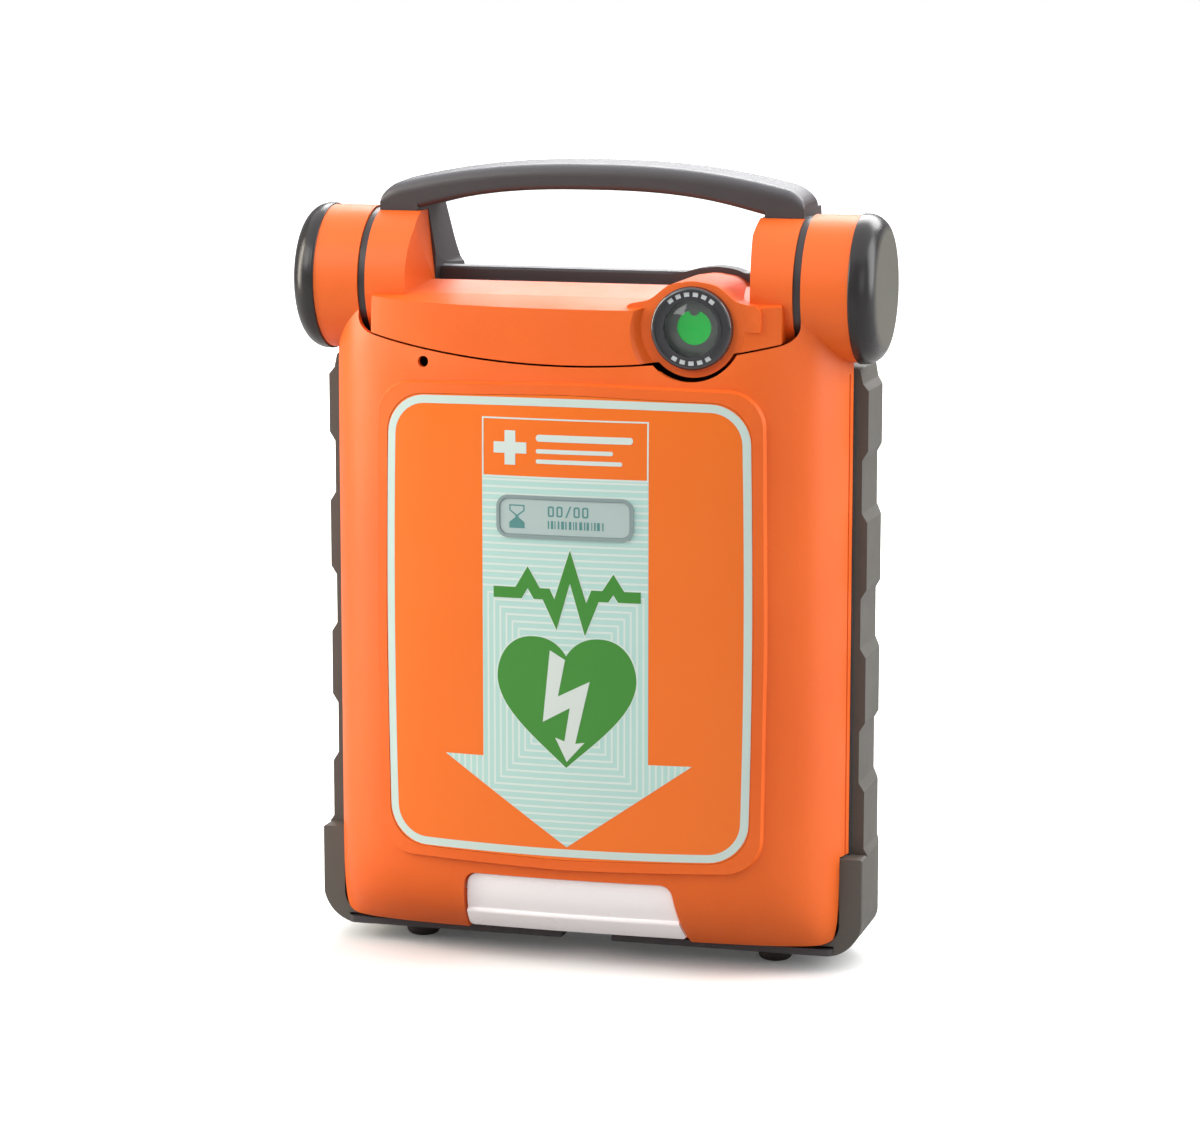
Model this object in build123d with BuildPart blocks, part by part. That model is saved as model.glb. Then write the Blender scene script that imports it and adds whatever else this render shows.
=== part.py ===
from build123d import *
import math
import os

# Portable semi-automatic defibrillator standing upright on its feet, lid closed.
# Millimetres: +Z up, +X to the right seen from the front, front face towards -Y.
# Origin: centre of the footprint, on the plane the feet rest on.

# ---------------------------------------------------------------- driving dimensions
# Hinge: its axis runs along X at y = 0. Ends are distances from the middle plane.
HINGE_Z = 259.0
BARREL_R = 27.3          # outside radius of the hinge barrels
BLOCK_IN = 66.0          # inner end of the fixed barrels
BLOCK_OUT = 82.3         # outer end of the fixed barrels
BARREL_IN = 85.3         # inner end of the lid barrels
BARREL_OUT = 102.75      # outer end of the lid barrels
CAP_OUT = 112.5          # outer face of the end caps
BOSS_R = 15.0            # hinge bosses of the case, inside the fixed barrels
BOSS_IN = 65.5
BOSS_ROOM_OUT = 84.0     # outer end of the cuts made for boss and pin
PIN_R = 4.0
PIN_IN = BOSS_IN + 1.5
PIN_GAP = 0.04
BUSH_R = 6.0

# Case
WALL = 2.6               # general moulding wall
RIM_Y = -2.6             # front rim of the case
BACK_Y = 42.0            # back face of the case
CASE_HALF = 101.0
CASE_BOTTOM = 6.5
SHOULDER_Z = 225.0       # top of the case beside the neck
NECK_TOP = 257.2
CAV_HALF = CASE_HALF - WALL
CAV_NECK = BLOCK_OUT - WALL
CAV_BOTTOM = CASE_BOTTOM + WALL
CAV_SHOULDER = SHOULDER_Z - WALL
CAV_TOP = NECK_TOP - WALL
CAV_BACK = BACK_Y - WALL
# Plan of the lip that runs forward under the lid: x, y, corner radius
LIP_PLAN = [(-97, -12, 3), (97, -12, 3), (97, RIM_Y + 0.5), (-97, RIM_Y + 0.5)]

# Lid
PART_Y = -3.0            # parting plane between lid and case
LID_BOTTOM = 11.0
TOP_ARC_R = 345.0        # the lid's upper edge sags along this arc
TOP_ARC_Z = 231.0        # lowest point of that arc
BAND_GAP = 0.7           # gap between the lid's upper edge and the fixed cover
FACE_RAISE = 1.9         # height of the graphic panel's plateau above the lid
LABEL_HALF, LABEL_Z0, LABEL_Z1 = 71.2, 46.0, 220.3
AHEAD = -80.0            # a plane in front of everything, where cutting prisms start

# Status indicator and latch
IND_X, IND_Z = 46.5, 246.2
IND_FACE = -33.4         # y of the face the indicator's bezel stands on
LATCH_Y, LATCH_Z = -33.8, 30.6   # pivot of the latch
LATCH_PIN_R = 1.2

# Control deck
DECK_Y = -8.0            # front of the deck
DECK_INNER = -5.6        # inside face of the deck's front wall
SEAL_Y = -0.8            # between deck flange and seal
BUTTON_Z = 150.0
SHOCK_X, LANG_X = 76.0, -76.0
SOCKET_X, SOCKET_Z = 76.0, 60.0
SPEAKER_X, SPEAKER_Z = -75.0, 96.0

# Electronics and battery
BOARD_FRONT, BOARD_BACK = 8.0, 9.6
BAT_X0, BAT_X1, BAT_Z0, BAT_Z1, BAT_Y0 = -92.0, -8.0, 26.0, 149.0, 14.0
BAT_MID = (BAT_X0 + BAT_X1) / 2
CONTACT_Z = 88.0
CELL_R, CELL_LEN, CELL_Y = 11.2, 50.0, 28.0
PLATE_X, PLATE_Z = 50.0, 68.0    # rating plate centre

# Fixing places, (x, z) unless noted
BOARD_POSTS = [(-85, 160), (85, 160), (-85, 212), (85, 212), (86, 24), (2, 24)]
CASE_SCREWS = [(x, z) for x in (-60, 60) for z in (170, 236)]
DECK_SCREWS = [(x, z) for x in (-94.8, 94.8) for z in (60, 140, 208)]
DECK_SCREW_R = 1.1
CELLS = [(x, z) for x in (-76.5, -50.0, -23.5) for z in (29.5, 82.5)]
FEET = [(x, y) for x in (-71, 71) for y in (4.0, 26.0)]    # x, y
FOOT_PEG_R, FOOT_PEG = 4.0, 1.8
REAR_X = (-70, 70)       # back pads and handle screws
PAD_ZS = (20, 205)
PAD_R, PAD_SINK = 5.0, 1.0
HANDLE_SCREW_Z = HINGE_Z + 8
SCREW_R = 1.5            # case and handle screws

os.makedirs("parts", exist_ok=True)


# ---------------------------------------------------------------- output
def save(part, name):
    """Label a finished piece and write it to its own file."""
    part.label = name
    export_step(part, "parts/" + name + ".step")


def save_joined(name, *shapes):
    """Add the shapes together in order and save the result."""
    with BuildPart() as piece:
        for shape in shapes:
            add(shape)
    save(piece.part, name)


# ---------------------------------------------------------------- geometry helpers
def rounded_face(corners):
    """Flat face with a closed outline through corners (u, v) or (u, v, radius)."""
    count = len(corners)
    ends = []            # per corner: start of its arc, middle of it, end of it
    for i, corner in enumerate(corners):
        here = Vector(corner[0], corner[1])
        radius = corner[2] if len(corner) > 2 else 0
        if radius <= 0:
            ends.append((here, None, here))
            continue
        before, after = corners[i - 1], corners[(i + 1) % count]
        to_before = Vector(before[0] - here.X, before[1] - here.Y).normalized()
        to_after = Vector(after[0] - here.X, after[1] - here.Y).normalized()
        half = math.acos(max(-1, min(1, to_before.dot(to_after)))) / 2
        trim = radius / math.tan(half)
        bisector = (to_before + to_after).normalized()
        middle = here + bisector * (radius / math.sin(half)) - bisector * radius
        ends.append((here + to_before * trim, middle, here + to_after * trim))
    edges = []
    for i, (start, middle, end) in enumerate(ends):
        if middle is not None:
            edges.append(Edge.make_three_point_arc(start, middle, end))
        following = ends[(i + 1) % count][0]
        if math.hypot(end.X - following.X, end.Y - following.Y) > 1e-6:
            edges.append(Edge.make_line(end, following))
    return Face(Wire(edges))


def prism(plane, corners, length):
    outline = rounded_face(corners)
    with BuildPart() as solid:
        with BuildSketch(plane):
            add(outline)
        extrude(amount=length)
    return solid.part


def prism_xz(corners, y0, y1):
    return prism(Plane.XZ.offset(-y1), corners, y1 - y0)


def prism_yz(corners, x0, x1):
    return prism(Plane.YZ.offset(x0), corners, x1 - x0)


def prism_xy(corners, z0, z1):
    return prism(Plane.XY.offset(z0), corners, z1 - z0)


def rect(x0, x1, z0, z1, radius):
    """Corners of a rectangle with rounded corners."""
    return [(x0, z0, radius), (x1, z0, radius), (x1, z1, radius), (x0, z1, radius)]


def block(x0, x1, y0, y1, z0, z1):
    return Solid.make_box(x1 - x0, y1 - y0, z1 - z0, Plane((x0, y0, z0)))


def block_at(x, z, half_x, half_z, y0, y1):
    """Block centred on x, z."""
    return block(x - half_x, x + half_x, y0, y1, z - half_z, z + half_z)


def cyl_x(radius, x0, x1, y, z):
    plane = Plane((x0, y, z), x_dir=(0, 1, 0), z_dir=(1, 0, 0))
    return Solid.make_cylinder(radius, x1 - x0, plane)


def cyl_y(radius, y0, y1, x, z):
    plane = Plane((x, y0, z), x_dir=(1, 0, 0), z_dir=(0, 1, 0))
    return Solid.make_cylinder(radius, y1 - y0, plane)


def cyl_z(radius, z0, z1, x, y):
    return Solid.make_cylinder(radius, z1 - z0, Plane((x, y, z0)))


def hinge_cyl(radius, x0, x1):
    """Cylinder on the hinge axis."""
    return cyl_x(radius, x0, x1, 0, HINGE_Z)


def ind_cyl(radius, y0, y1):
    """Cylinder on the status indicator's axis."""
    return cyl_y(radius, y0, y1, IND_X, IND_Z)


def ind_cone(back_r, front_r, length, back_y):
    """Cone on the status indicator's axis, running forward from back_y."""
    plane = Plane((IND_X, back_y, IND_Z), x_dir=(1, 0, 0), z_dir=(0, -1, 0))
    return Solid.make_cone(back_r, front_r, length, plane)


def both(shape):
    """The shape and its mirror image across the middle plane."""
    return [shape, shape.mirror(Plane.YZ)]


def largest(shape):
    return max(shape.solids(), key=lambda solid: solid.volume)


def soften(part, edges, radii):
    """Fillet the edges with the first of the radii that holds."""
    for radius in radii:
        # the fillet can fail at a given radius; the next one is then tried
        try:
            done = fillet(edges, radius)
            if done.is_valid and len(done.solids()) == len(part.solids()):
                return done
        except Exception:
            continue
    return part


# ---------------------------------------------------------------- lid form
# Half plan of the lid's outside at full depth: x, depth in front of the parting plane
PLAN = [(0, 39.0), (25, 38.35), (50, 36.4), (66, 34.0), (76, 31.3), (84, 27.6),
        (90.5, 22.5), (95, 16.2), (98.4, 8.6), (100.6, 0.0)]
# Height z, share of full depth: the face rolls back at its foot and leans back at its head
RISE = [(11, 0.50), (14, 0.612), (18, 0.728), (23, 0.84), (29, 0.922), (36, 0.972),
        (45, 0.996), (57, 1.0), (72, 1.0), (90, 1.0), (108, 1.0), (126, 1.0), (144, 1.0),
        (162, 1.0), (180, 1.0), (195, 0.999), (208, 0.994), (219, 0.98), (229, 0.953),
        (239, 0.905), (248, 0.84), (257, 0.76)]
# The same for the fixed cover above the lid
BAND_RISE = [(224, 0.945), (232, 0.945), (240, 0.935), (248, 0.92), (256, 0.90), (264, 0.88)]


def plan_offset(off):
    """PLAN moved outwards by off along its normals."""
    points = []
    for i, (x, depth) in enumerate(PLAN):
        x0, depth0 = PLAN[max(i - 1, 0)]
        x1, depth1 = PLAN[min(i + 1, len(PLAN) - 1)]
        run, fall = x1 - x0, depth1 - depth0
        span = math.hypot(run, fall)
        normal_x, normal_y = -fall / span, run / span
        if i == 0:
            normal_x, normal_y = 0.0, 1.0
        if i == len(PLAN) - 1:
            normal_x, normal_y = 1.0, 0.0
        points.append((x + normal_x * off, depth + normal_y * off))
    return points


def lid_form(off, rise=RISE, lift=0.0, back=0.0):
    """Envelope of the lid grown by off; lift raises the foot, back moves the rear plane."""
    base = plan_offset(off)
    with BuildPart() as form:
        for z, share in rise:
            half = [(x, PART_Y - share * (depth - off) - off) for x, depth in base]
            half[-1] = (half[-1][0], PART_Y + back)
            row = [(-x, y) for x, y in reversed(half[1:])] + half
            level = z + lift * max(0.0, (60 - z) / 49.0)
            with BuildSketch(Plane.XY.offset(level)):
                with BuildLine():
                    Spline(*row)
                    Line(row[-1], row[0])
                make_face()
        loft()
    return form.part


def lid_edge_z(x):
    """Height of the lid's upper edge."""
    return TOP_ARC_Z + TOP_ARC_R - math.sqrt(TOP_ARC_R ** 2 - x * x)


def cover_edge_z(x):
    """Height of the fixed cover's lower edge."""
    return lid_edge_z(x) + BAND_GAP


def label_outline(gap):
    """Bowed outline of the graphic panel's recess, shrunk by gap."""
    side, corner = LABEL_HALF - gap, LABEL_HALF - 1.2 - gap
    low, high = LABEL_Z0 + gap, LABEL_Z1 - gap
    return [(-corner, low + 1, 15), (0, low - 0.9, 300), (corner, low + 1, 15),
            (side, 132, 900), (corner, high - 1, 15), (0, high + 0.9, 300),
            (-corner, high - 1, 15), (-side, 132, 900)]


outer_form = lid_form(0.0)
label_top_form = lid_form(FACE_RAISE - 0.2)
label_floor_form = lid_form(FACE_RAISE - 0.95)
inner_form = lid_form(-WALL, lift=WALL, back=4.0)


# ---------------------------------------------------------------- rear case
def case_envelope():
    plan = prism_xy([(-CASE_HALF, RIM_Y), (CASE_HALF, RIM_Y),
                     (CASE_HALF, BACK_Y, 15), (-CASE_HALF, BACK_Y, 15)],
                    CASE_BOTTOM, NECK_TOP)
    front = prism_xz([(-CASE_HALF, CASE_BOTTOM, 14), (CASE_HALF, CASE_BOTTOM, 14),
                      (CASE_HALF, SHOULDER_Z, 6), (BLOCK_OUT, SHOULDER_Z, 4),
                      (BLOCK_OUT, NECK_TOP), (-BLOCK_OUT, NECK_TOP),
                      (-BLOCK_OUT, SHOULDER_Z, 4), (-CASE_HALF, SHOULDER_Z, 6)],
                     RIM_Y, BACK_Y)
    side = prism_yz([(RIM_Y, CASE_BOTTOM), (BACK_Y, CASE_BOTTOM, 9),
                     (BACK_Y, NECK_TOP, 14), (RIM_Y, NECK_TOP)], -CASE_HALF, CASE_HALF)
    return plan & front & side


def case_cavity():
    mouth = RIM_Y - 1
    plan = prism_xy([(-CAV_HALF, mouth), (CAV_HALF, mouth),
                     (CAV_HALF, CAV_BACK, 12.4), (-CAV_HALF, CAV_BACK, 12.4)],
                    CAV_BOTTOM, CAV_TOP)
    front = prism_xz([(-CAV_HALF, CAV_BOTTOM, 11.4), (CAV_HALF, CAV_BOTTOM, 11.4),
                      (CAV_HALF, CAV_SHOULDER, 4), (CAV_NECK, CAV_SHOULDER, 2),
                      (CAV_NECK, CAV_TOP), (-CAV_NECK, CAV_TOP),
                      (-CAV_NECK, CAV_SHOULDER, 2), (-CAV_HALF, CAV_SHOULDER, 4)],
                     mouth, BACK_Y)
    side = prism_yz([(mouth, CAV_BOTTOM), (CAV_BACK, CAV_BOTTOM, 6.5),
                     (CAV_BACK, CAV_TOP, 11.4), (mouth, CAV_TOP)], -CAV_HALF, CAV_HALF)
    return plan & front & side


def frame_outline(gap):
    """Outline of the panel opening in the case mouth, shrunk by gap."""
    side, shoulder, neck = CAV_HALF - gap, CAV_SHOULDER - gap, CAV_NECK - gap
    bottom, top = CAV_BOTTOM + gap, 229.5 - gap
    return [(-side, bottom, 11), (side, bottom, 11), (side, shoulder, 4.4), (neck, shoulder),
            (neck, top), (-neck, top), (-neck, shoulder), (-side, shoulder, 4.4)]


case_env = case_envelope()
ledge = prism_xz(frame_outline(0.0), 0.0, 3.0) - prism_xz(frame_outline(5.5), -1.0, 4.0)
with BuildPart() as rear_case:
    add(case_env)
    add(case_cavity(), mode=Mode.SUBTRACT)
    add(both(hinge_cyl(BOSS_R, BOSS_IN, BLOCK_OUT)))
    add(prism_xy(LIP_PLAN, CASE_BOTTOM, CAV_BOTTOM))
    add(ledge)
    # battery bay, open at the back, with a slot in its roof
    add(block(BAT_X0 - 2, BAT_X1 + 2, BAT_Y0 - 2, BACK_Y - 1, BAT_Z0 - 2, BAT_Z1 + 6))
    add(block(BAT_X0, BAT_X1, BAT_Y0, BACK_Y + 5, BAT_Z0, BAT_Z1), mode=Mode.SUBTRACT)
    add(block(BAT_MID - 8, BAT_MID + 8, BACK_Y - 7.2, BACK_Y - 4.0, BAT_Z1 - 1, BAT_Z1 + 4.2),
        mode=Mode.SUBTRACT)
    for x, z in BOARD_POSTS:
        add(cyl_y(3.2, BOARD_BACK, BACK_Y - 1, x, z))
        add(cyl_y(1.2, BOARD_FRONT, 22.0, x, z), mode=Mode.SUBTRACT)
    # pin bores
    add(both(hinge_cyl(PIN_R, PIN_IN, BOSS_ROOM_OUT)), mode=Mode.SUBTRACT)
    # foot sockets and rating plate pocket
    for x, y in FEET:
        add(cyl_z(FOOT_PEG_R, CASE_BOTTOM - 1, CASE_BOTTOM + FOOT_PEG, x, y),
            mode=Mode.SUBTRACT)
    add(block_at(PLATE_X, PLATE_Z, 34, 24, BACK_Y - 0.6, BACK_Y + 1), mode=Mode.SUBTRACT)
    # five grooves across the back, beside the battery
    for k in range(5):
        add(block(18, 82, BACK_Y - 0.8, BACK_Y + 1, 110 + 9 * k, 113 + 9 * k),
            mode=Mode.SUBTRACT)
    # case screw pillars with counterbores
    for x, z in CASE_SCREWS:
        add(cyl_y(5.6, 3.0, BACK_Y - 1, x, z))
        add(cyl_y(3.6, BACK_Y - 5.5, BACK_Y + 1, x, z), mode=Mode.SUBTRACT)
        add(cyl_y(SCREW_R, 12.0, BACK_Y - 5, x, z), mode=Mode.SUBTRACT)
    # handle screw bores and back pad sockets
    for x in REAR_X:
        add(cyl_y(SCREW_R, 6.0, 20.0, x, HANDLE_SCREW_Z), mode=Mode.SUBTRACT)
        for z in PAD_ZS:
            add(cyl_y(PAD_R, BACK_Y - PAD_SINK, BACK_Y + 1, x, z), mode=Mode.SUBTRACT)
    for x, z in DECK_SCREWS:
        add(cyl_y(DECK_SCREW_R, -1.0, 4.0, x, z), mode=Mode.SUBTRACT)
    # opening for the battery contacts, notch in the middle of the front lip
    add(block_at(BAT_MID, CONTACT_Z, 6, 4, BAT_Y0 - 3, BAT_Y0 + 1), mode=Mode.SUBTRACT)
    add(block(-10, 10, -20, RIM_Y, 0, 12), mode=Mode.SUBTRACT)
save(rear_case.part, "rear_case")


# ---------------------------------------------------------------- lid shell
def lid_top_cut():
    """Everything above the lid's upper edge, turned up at both ends."""
    ends = [(BARREL_IN, 6), (84.2, 2.2), (81.5, 0.5)]    # x, height above the arc
    points = [(-x, lid_edge_z(x) + up) for x, up in ends]
    points += [(x, lid_edge_z(x)) for x in range(-77, 78, 11)]
    points += [(x, lid_edge_z(x) + up) for x, up in reversed(ends)]
    with BuildPart() as cut:
        with BuildSketch(Plane.XZ.offset(-12)):
            with BuildLine():
                Spline(*points)
                Polyline(points[-1], (BARREL_IN, 300), (-BARREL_IN, 300), points[0])
            make_face()
        extrude(amount=90)
    return cut.part


def label_plateau():
    """Raised field that carries the graphic panel, bevelled around its front."""
    plateau = lid_form(FACE_RAISE) & prism_xz(label_outline(-5.6), AHEAD, -12)
    front = max((face for face in plateau.faces() if face.center().Y < -38),
                key=lambda face: face.area)
    # the bevel on this curved face can fail; the edge then stays square
    try:
        return chamfer(front.edges(), 1.85, 4.4, reference=front)
    except Exception:
        return plateau


# Latch pocket, wider towards its foot: x, z, corner radius
POCKET = [(-40.2, 37.1, 5), (40.2, 37.1, 5), (44.6, 8.0), (-44.6, 8.0)]
POCKET_WALL = [(-42.6, 39.5, 7), (42.6, 39.5, 7), (47.2, 8.0), (-47.2, 8.0)]
lid_front = prism_xz([(-100.8, LID_BOTTOM, 10), (100.8, LID_BOTTOM, 10),
                      (100.8, 262), (-100.8, 262)], -70, 10)
core_front = prism_xz([(-98.0, LID_BOTTOM + WALL, 8), (98.0, LID_BOTTOM + WALL, 8),
                       (98.0, 262), (-98.0, 262)], -70, 10)
edge_relief = prism_xz([(x, lid_edge_z(x) - 2.4) for x in (-79.7, *range(-72, 73, 6), 79.7)]
                       + [(79.7, 262), (-79.7, 262)], -60, -12)
parting_groove = block(-110, 110, -6.6, -5.7, 0, 228) - lid_form(-0.9)
plateau = label_plateau()
barrel = hinge_cyl(BARREL_R, BARREL_IN, BARREL_OUT)
barrel_room = hinge_cyl(BARREL_R - 3.0, BARREL_IN + 3.2, BARREL_OUT + 1)
with BuildPart() as lid_shell:
    add(outer_form & lid_front)
    add(inner_form & core_front, mode=Mode.SUBTRACT)
    add(plateau)
    add(lid_top_cut(), mode=Mode.SUBTRACT)
    # thin lip along the upper edge, so that the lid clears the cover as it swings
    add(lid_form(-1.0) & edge_relief, mode=Mode.SUBTRACT)
    # round cut below the status indicator
    add(cyl_y(19.2, -60, 10, IND_X, IND_Z - 0.4), mode=Mode.SUBTRACT)
    # clear the cavity again where the plateau filled it
    add(inner_form & core_front & block(-99, 99, -60, -12, 13, 240), mode=Mode.SUBTRACT)
    add(prism_xz(label_outline(0.0), AHEAD, -20) - label_floor_form, mode=Mode.SUBTRACT)
    # latch pocket and the opening behind it
    add(prism_xz(POCKET_WALL, AHEAD, -13.6) & outer_form & lid_front)
    add(prism_xz(POCKET, AHEAD, -16.0), mode=Mode.SUBTRACT)
    add(block(-7.5, 7.5, -20, 1, 5, 24.5), mode=Mode.SUBTRACT)
    # lower corners cut away for the side bumpers
    add(both(block(86, 110, -10.5, 6, 0, 45)), mode=Mode.SUBTRACT)
    # hollow hinge barrels, each with a hub bored for its bush
    add(both(barrel_room), mode=Mode.SUBTRACT)
    add(both(barrel - barrel_room))
    add(both(hinge_cyl(9.0, BARREL_IN, 100.0)))
    add(both(hinge_cyl(BUSH_R, BARREL_IN - 1, 99.0)), mode=Mode.SUBTRACT)
    add(parting_groove, mode=Mode.SUBTRACT)
    add(both(cyl_x(LATCH_PIN_R, 39.0, 43.1, LATCH_Y, LATCH_Z)), mode=Mode.SUBTRACT)
    # small sight hole at the upper left
    add(cyl_y(2.1, -60, -20, -56.3, 231.2), mode=Mode.SUBTRACT)
save(lid_shell.part, "lid_shell")

# ---------------------------------------------------------------- top cover
# Band above the lid, fronts of the fixed barrels, and the boss of the status indicator.
COVER_BACK = 4.7
CREST_Z = HINGE_Z + 0.9      # top of the band at its back
SLOPE_Z = HINGE_Z - 0.2      # where the band's top starts to fall forward
FRONT_Z = HINGE_Z - 3.2

band_front = prism_xz([(x, cover_edge_z(x)) for x in (*range(-79, 80, 6), 79)]
                      + [(79, 256.5, 4), (60, 259.5, 40), (0, 262),
                         (-60, 259.5, 40), (-79, 256.5, 4)], -60, COVER_BACK)
band_front_core = prism_xz([(x, cover_edge_z(x) + WALL) for x in (*range(-73, 72, 6), 76.2)]
                           + [(76.2, 262), (-76.2, 262),
                              (-76.2, cover_edge_z(76.2) + WALL)], -60, 8)
band_side = prism_yz([(-60, 225), (RIM_Y, 225), (RIM_Y, NECK_TOP), (COVER_BACK, NECK_TOP),
                      (COVER_BACK, CREST_Z), (-4, SLOPE_Z), (-24, FRONT_Z),
                      (-37.4, HINGE_Z - 6.8, 3.5), (-60, 236)], -79, 79)
band_side_core = prism_yz([(-60, 225), (8, 225), (8, CREST_Z - WALL),
                           (COVER_BACK, CREST_Z - WALL), (-4, SLOPE_Z - WALL),
                           (-24, FRONT_Z - WALL), (-35.6, HINGE_Z - 6.6 - WALL),
                           (-60, 229)], -79, 79)
band = lid_form(-1.2, rise=BAND_RISE) & band_front & band_side
band_core = lid_form(-1.2 - WALL, rise=BAND_RISE) & band_front_core & band_side_core


def barrel_front(plan_x, draft_x, outer_x, plan_back, plan_top, radius, draft_up):
    """Front half of a fixed barrel, its inner end drafted in plan and in front view.

    plan_x: inner end at the front and at plan_back; draft_x: inner end from foot to top.
    """
    plan = prism_xy([(plan_x[0], -28), (outer_x, -28), (outer_x, plan_back),
                     (plan_x[1], plan_back)], HINGE_Z - 28, HINGE_Z + plan_top)
    draft_out = BLOCK_OUT + 1 if outer_x == BLOCK_OUT else outer_x
    draft = prism_xz([(draft_x[0], HINGE_Z - 30), (draft_x[1], HINGE_Z - 2),
                      (draft_x[2], HINGE_Z + draft_up), (draft_out, HINGE_Z + draft_up),
                      (draft_out, HINGE_Z - 30)], -30, 2)
    return plan & hinge_cyl(radius, 60.0, BLOCK_OUT) & draft


block_front = barrel_front((BLOCK_IN + 0.6, 62.9), (62.4, 62.9, 66.0), BLOCK_OUT,
                           plan_back=0, plan_top=26.0, radius=BARREL_R, draft_up=27)
block_front_core = barrel_front((BLOCK_IN + 2.8, 65.2), (64.8, 65.3, 68.2), BLOCK_OUT - 2.2,
                                plan_back=1, plan_top=23.6, radius=BARREL_R - 2.4,
                                draft_up=25)

# Front view of the boss and of its hollow: x, z, corner radius
BOSS_SHAPE = [(21, 240), (21, HINGE_Z - 4.6, 3), (30.0, HINGE_Z - 3.0, 8),
              (37.5, HINGE_Z + 3.2, 10), (46.5, HINGE_Z + 4.6, 16),
              (55.5, HINGE_Z + 3.2, 10), (63.0, HINGE_Z - 3.0, 8),
              (72, HINGE_Z - 4.6, 3), (72, 240)]
BOSS_HOLLOW = [(28, 248), (28, HINGE_Z - 5.6), (39, HINGE_Z + 0.6, 6),
               (46.5, HINGE_Z + 2.0, 10), (54, HINGE_Z + 0.6, 6),
               (65, HINGE_Z - 5.6), (65, 248)]
DISC_Z = IND_Z - 0.6
boss_limit = block(20, 73, -34, 5, NECK_TOP - 12, 270)
with BuildPart() as top_cover:
    add(band)
    # dished face around the indicator
    add(ind_cone(19.6, 23.6, 5.0, IND_FACE), mode=Mode.SUBTRACT)
    add(prism_xz(BOSS_SHAPE, IND_FACE, COVER_BACK) & boss_limit)
    add(cyl_y(17.6, IND_FACE, RIM_Y, IND_X, DISC_Z))
    add(both(block_front))
    # hollow it out, leaving a wall behind the dish
    add(band_core - ind_cone(21.2, 27.2, 8.0, -31.2), mode=Mode.SUBTRACT)
    add(prism_xz(BOSS_HOLLOW, -31.0, 2.0), mode=Mode.SUBTRACT)
    add(cyl_y(15.2, -31.2, RIM_Y, IND_X, DISC_Z), mode=Mode.SUBTRACT)
    add(both(block_front_core), mode=Mode.SUBTRACT)
    # room for the hinge bosses, the indicator and the neck of the case
    add(both(hinge_cyl(BOSS_R, BOSS_IN, BOSS_ROOM_OUT)), mode=Mode.SUBTRACT)
    add(ind_cyl(15.4, -40, -25.5), mode=Mode.SUBTRACT)
    add(block(-90, 90, RIM_Y, 60, 220, NECK_TOP), mode=Mode.SUBTRACT)
cover_part = Part(largest(top_cover.part).wrapped)
save(cover_part, "top_cover")

# ---------------------------------------------------------------- carry handle
CORNER_X, CORNER_R = 75.5, 7.0   # the bar turns down outside CORNER_X
# Stations of the right half of the bar, from its end inwards
BAR_X = [82.2, 81.2, 79.8, 78.0, CORNER_X, 71.5, 66, 58, 47, 32, 16]


def bar_top(x):
    """Top of the bar: nearly flat in the middle, turned down over a corner at each end."""
    out = abs(x)
    corner = 0.0
    if out > CORNER_X:
        corner = CORNER_R - math.sqrt(CORNER_R ** 2 - (out - CORNER_X) ** 2)
    return HINGE_Z + 47.0 - 8.3 * (out / 76.0) ** 2.3 - corner


def bar_under(x):
    """Underside of the bar: arched in the middle, then falling straight to the legs."""
    out = abs(x)
    if out <= 58:
        return HINGE_Z + 35.0 - 5.7 * (out / 58.0) ** 2.6
    return HINGE_Z + 29.3 - 3.0 * min(1.0, (out - 58) / 12.0)


def handle_bar():
    with BuildPart() as bar:
        for x in [-x for x in BAR_X] + [0] + BAR_X[::-1]:
            top, under = bar_top(x), bar_under(x)
            k = min(1.0, (top - under) / 10.8)   # shrinks the corners where the bar is thin
            section = rounded_face([(-8, under, 2.4 * k), (17.5, under - 0.2, 3.0 * k),
                                    (16, top - 1.2 * k, 6.0 * k), (-8, top - 2.4 * k, 4.6 * k)])
            with BuildSketch(Plane.YZ.offset(x)):
                add(section)
        loft()
    return bar.part


def handle_leg():
    low = HINGE_Z - 10
    side = prism_yz([(0.1, low), (37, low), (31, HINGE_Z + 3.0, 6), (26.5, HINGE_Z + 12, 20),
                     (20.0, HINGE_Z + 36, 4), (0.1, HINGE_Z + 36)], 50, BLOCK_OUT)
    plan = prism_xy([(BLOCK_OUT, 0), (62.9, 0), (61.9, 13, 12), (60.6, 40), (BLOCK_OUT, 40)],
                    low, HINGE_Z + 30)
    front = prism_xz([(59.4, low), (59.4, HINGE_Z + 1.6), (62.2, HINGE_Z + 5.6, 4),
                      (66.0, HINGE_Z + 29), (BLOCK_OUT, HINGE_Z + 29), (BLOCK_OUT, low)],
                     -10, 42)
    return side & plan & front


leg_front = prism_xy([(BLOCK_OUT, -8), (67.5, -8), (65.6, 0.2), (BLOCK_OUT, 0.2)],
                     HINGE_Z + 26.1, HINGE_Z + 29.5)
base_strip = prism_yz([(4.8, NECK_TOP), (4.8, HINGE_Z + 4.2, 1.2), (9, HINGE_Z + 4.7, 3),
                       (20, HINGE_Z + 2.6, 12), (34, HINGE_Z - 2.0, 6),
                       (38, HINGE_Z - 10), (20, HINGE_Z - 10)], -63, 63)
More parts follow.
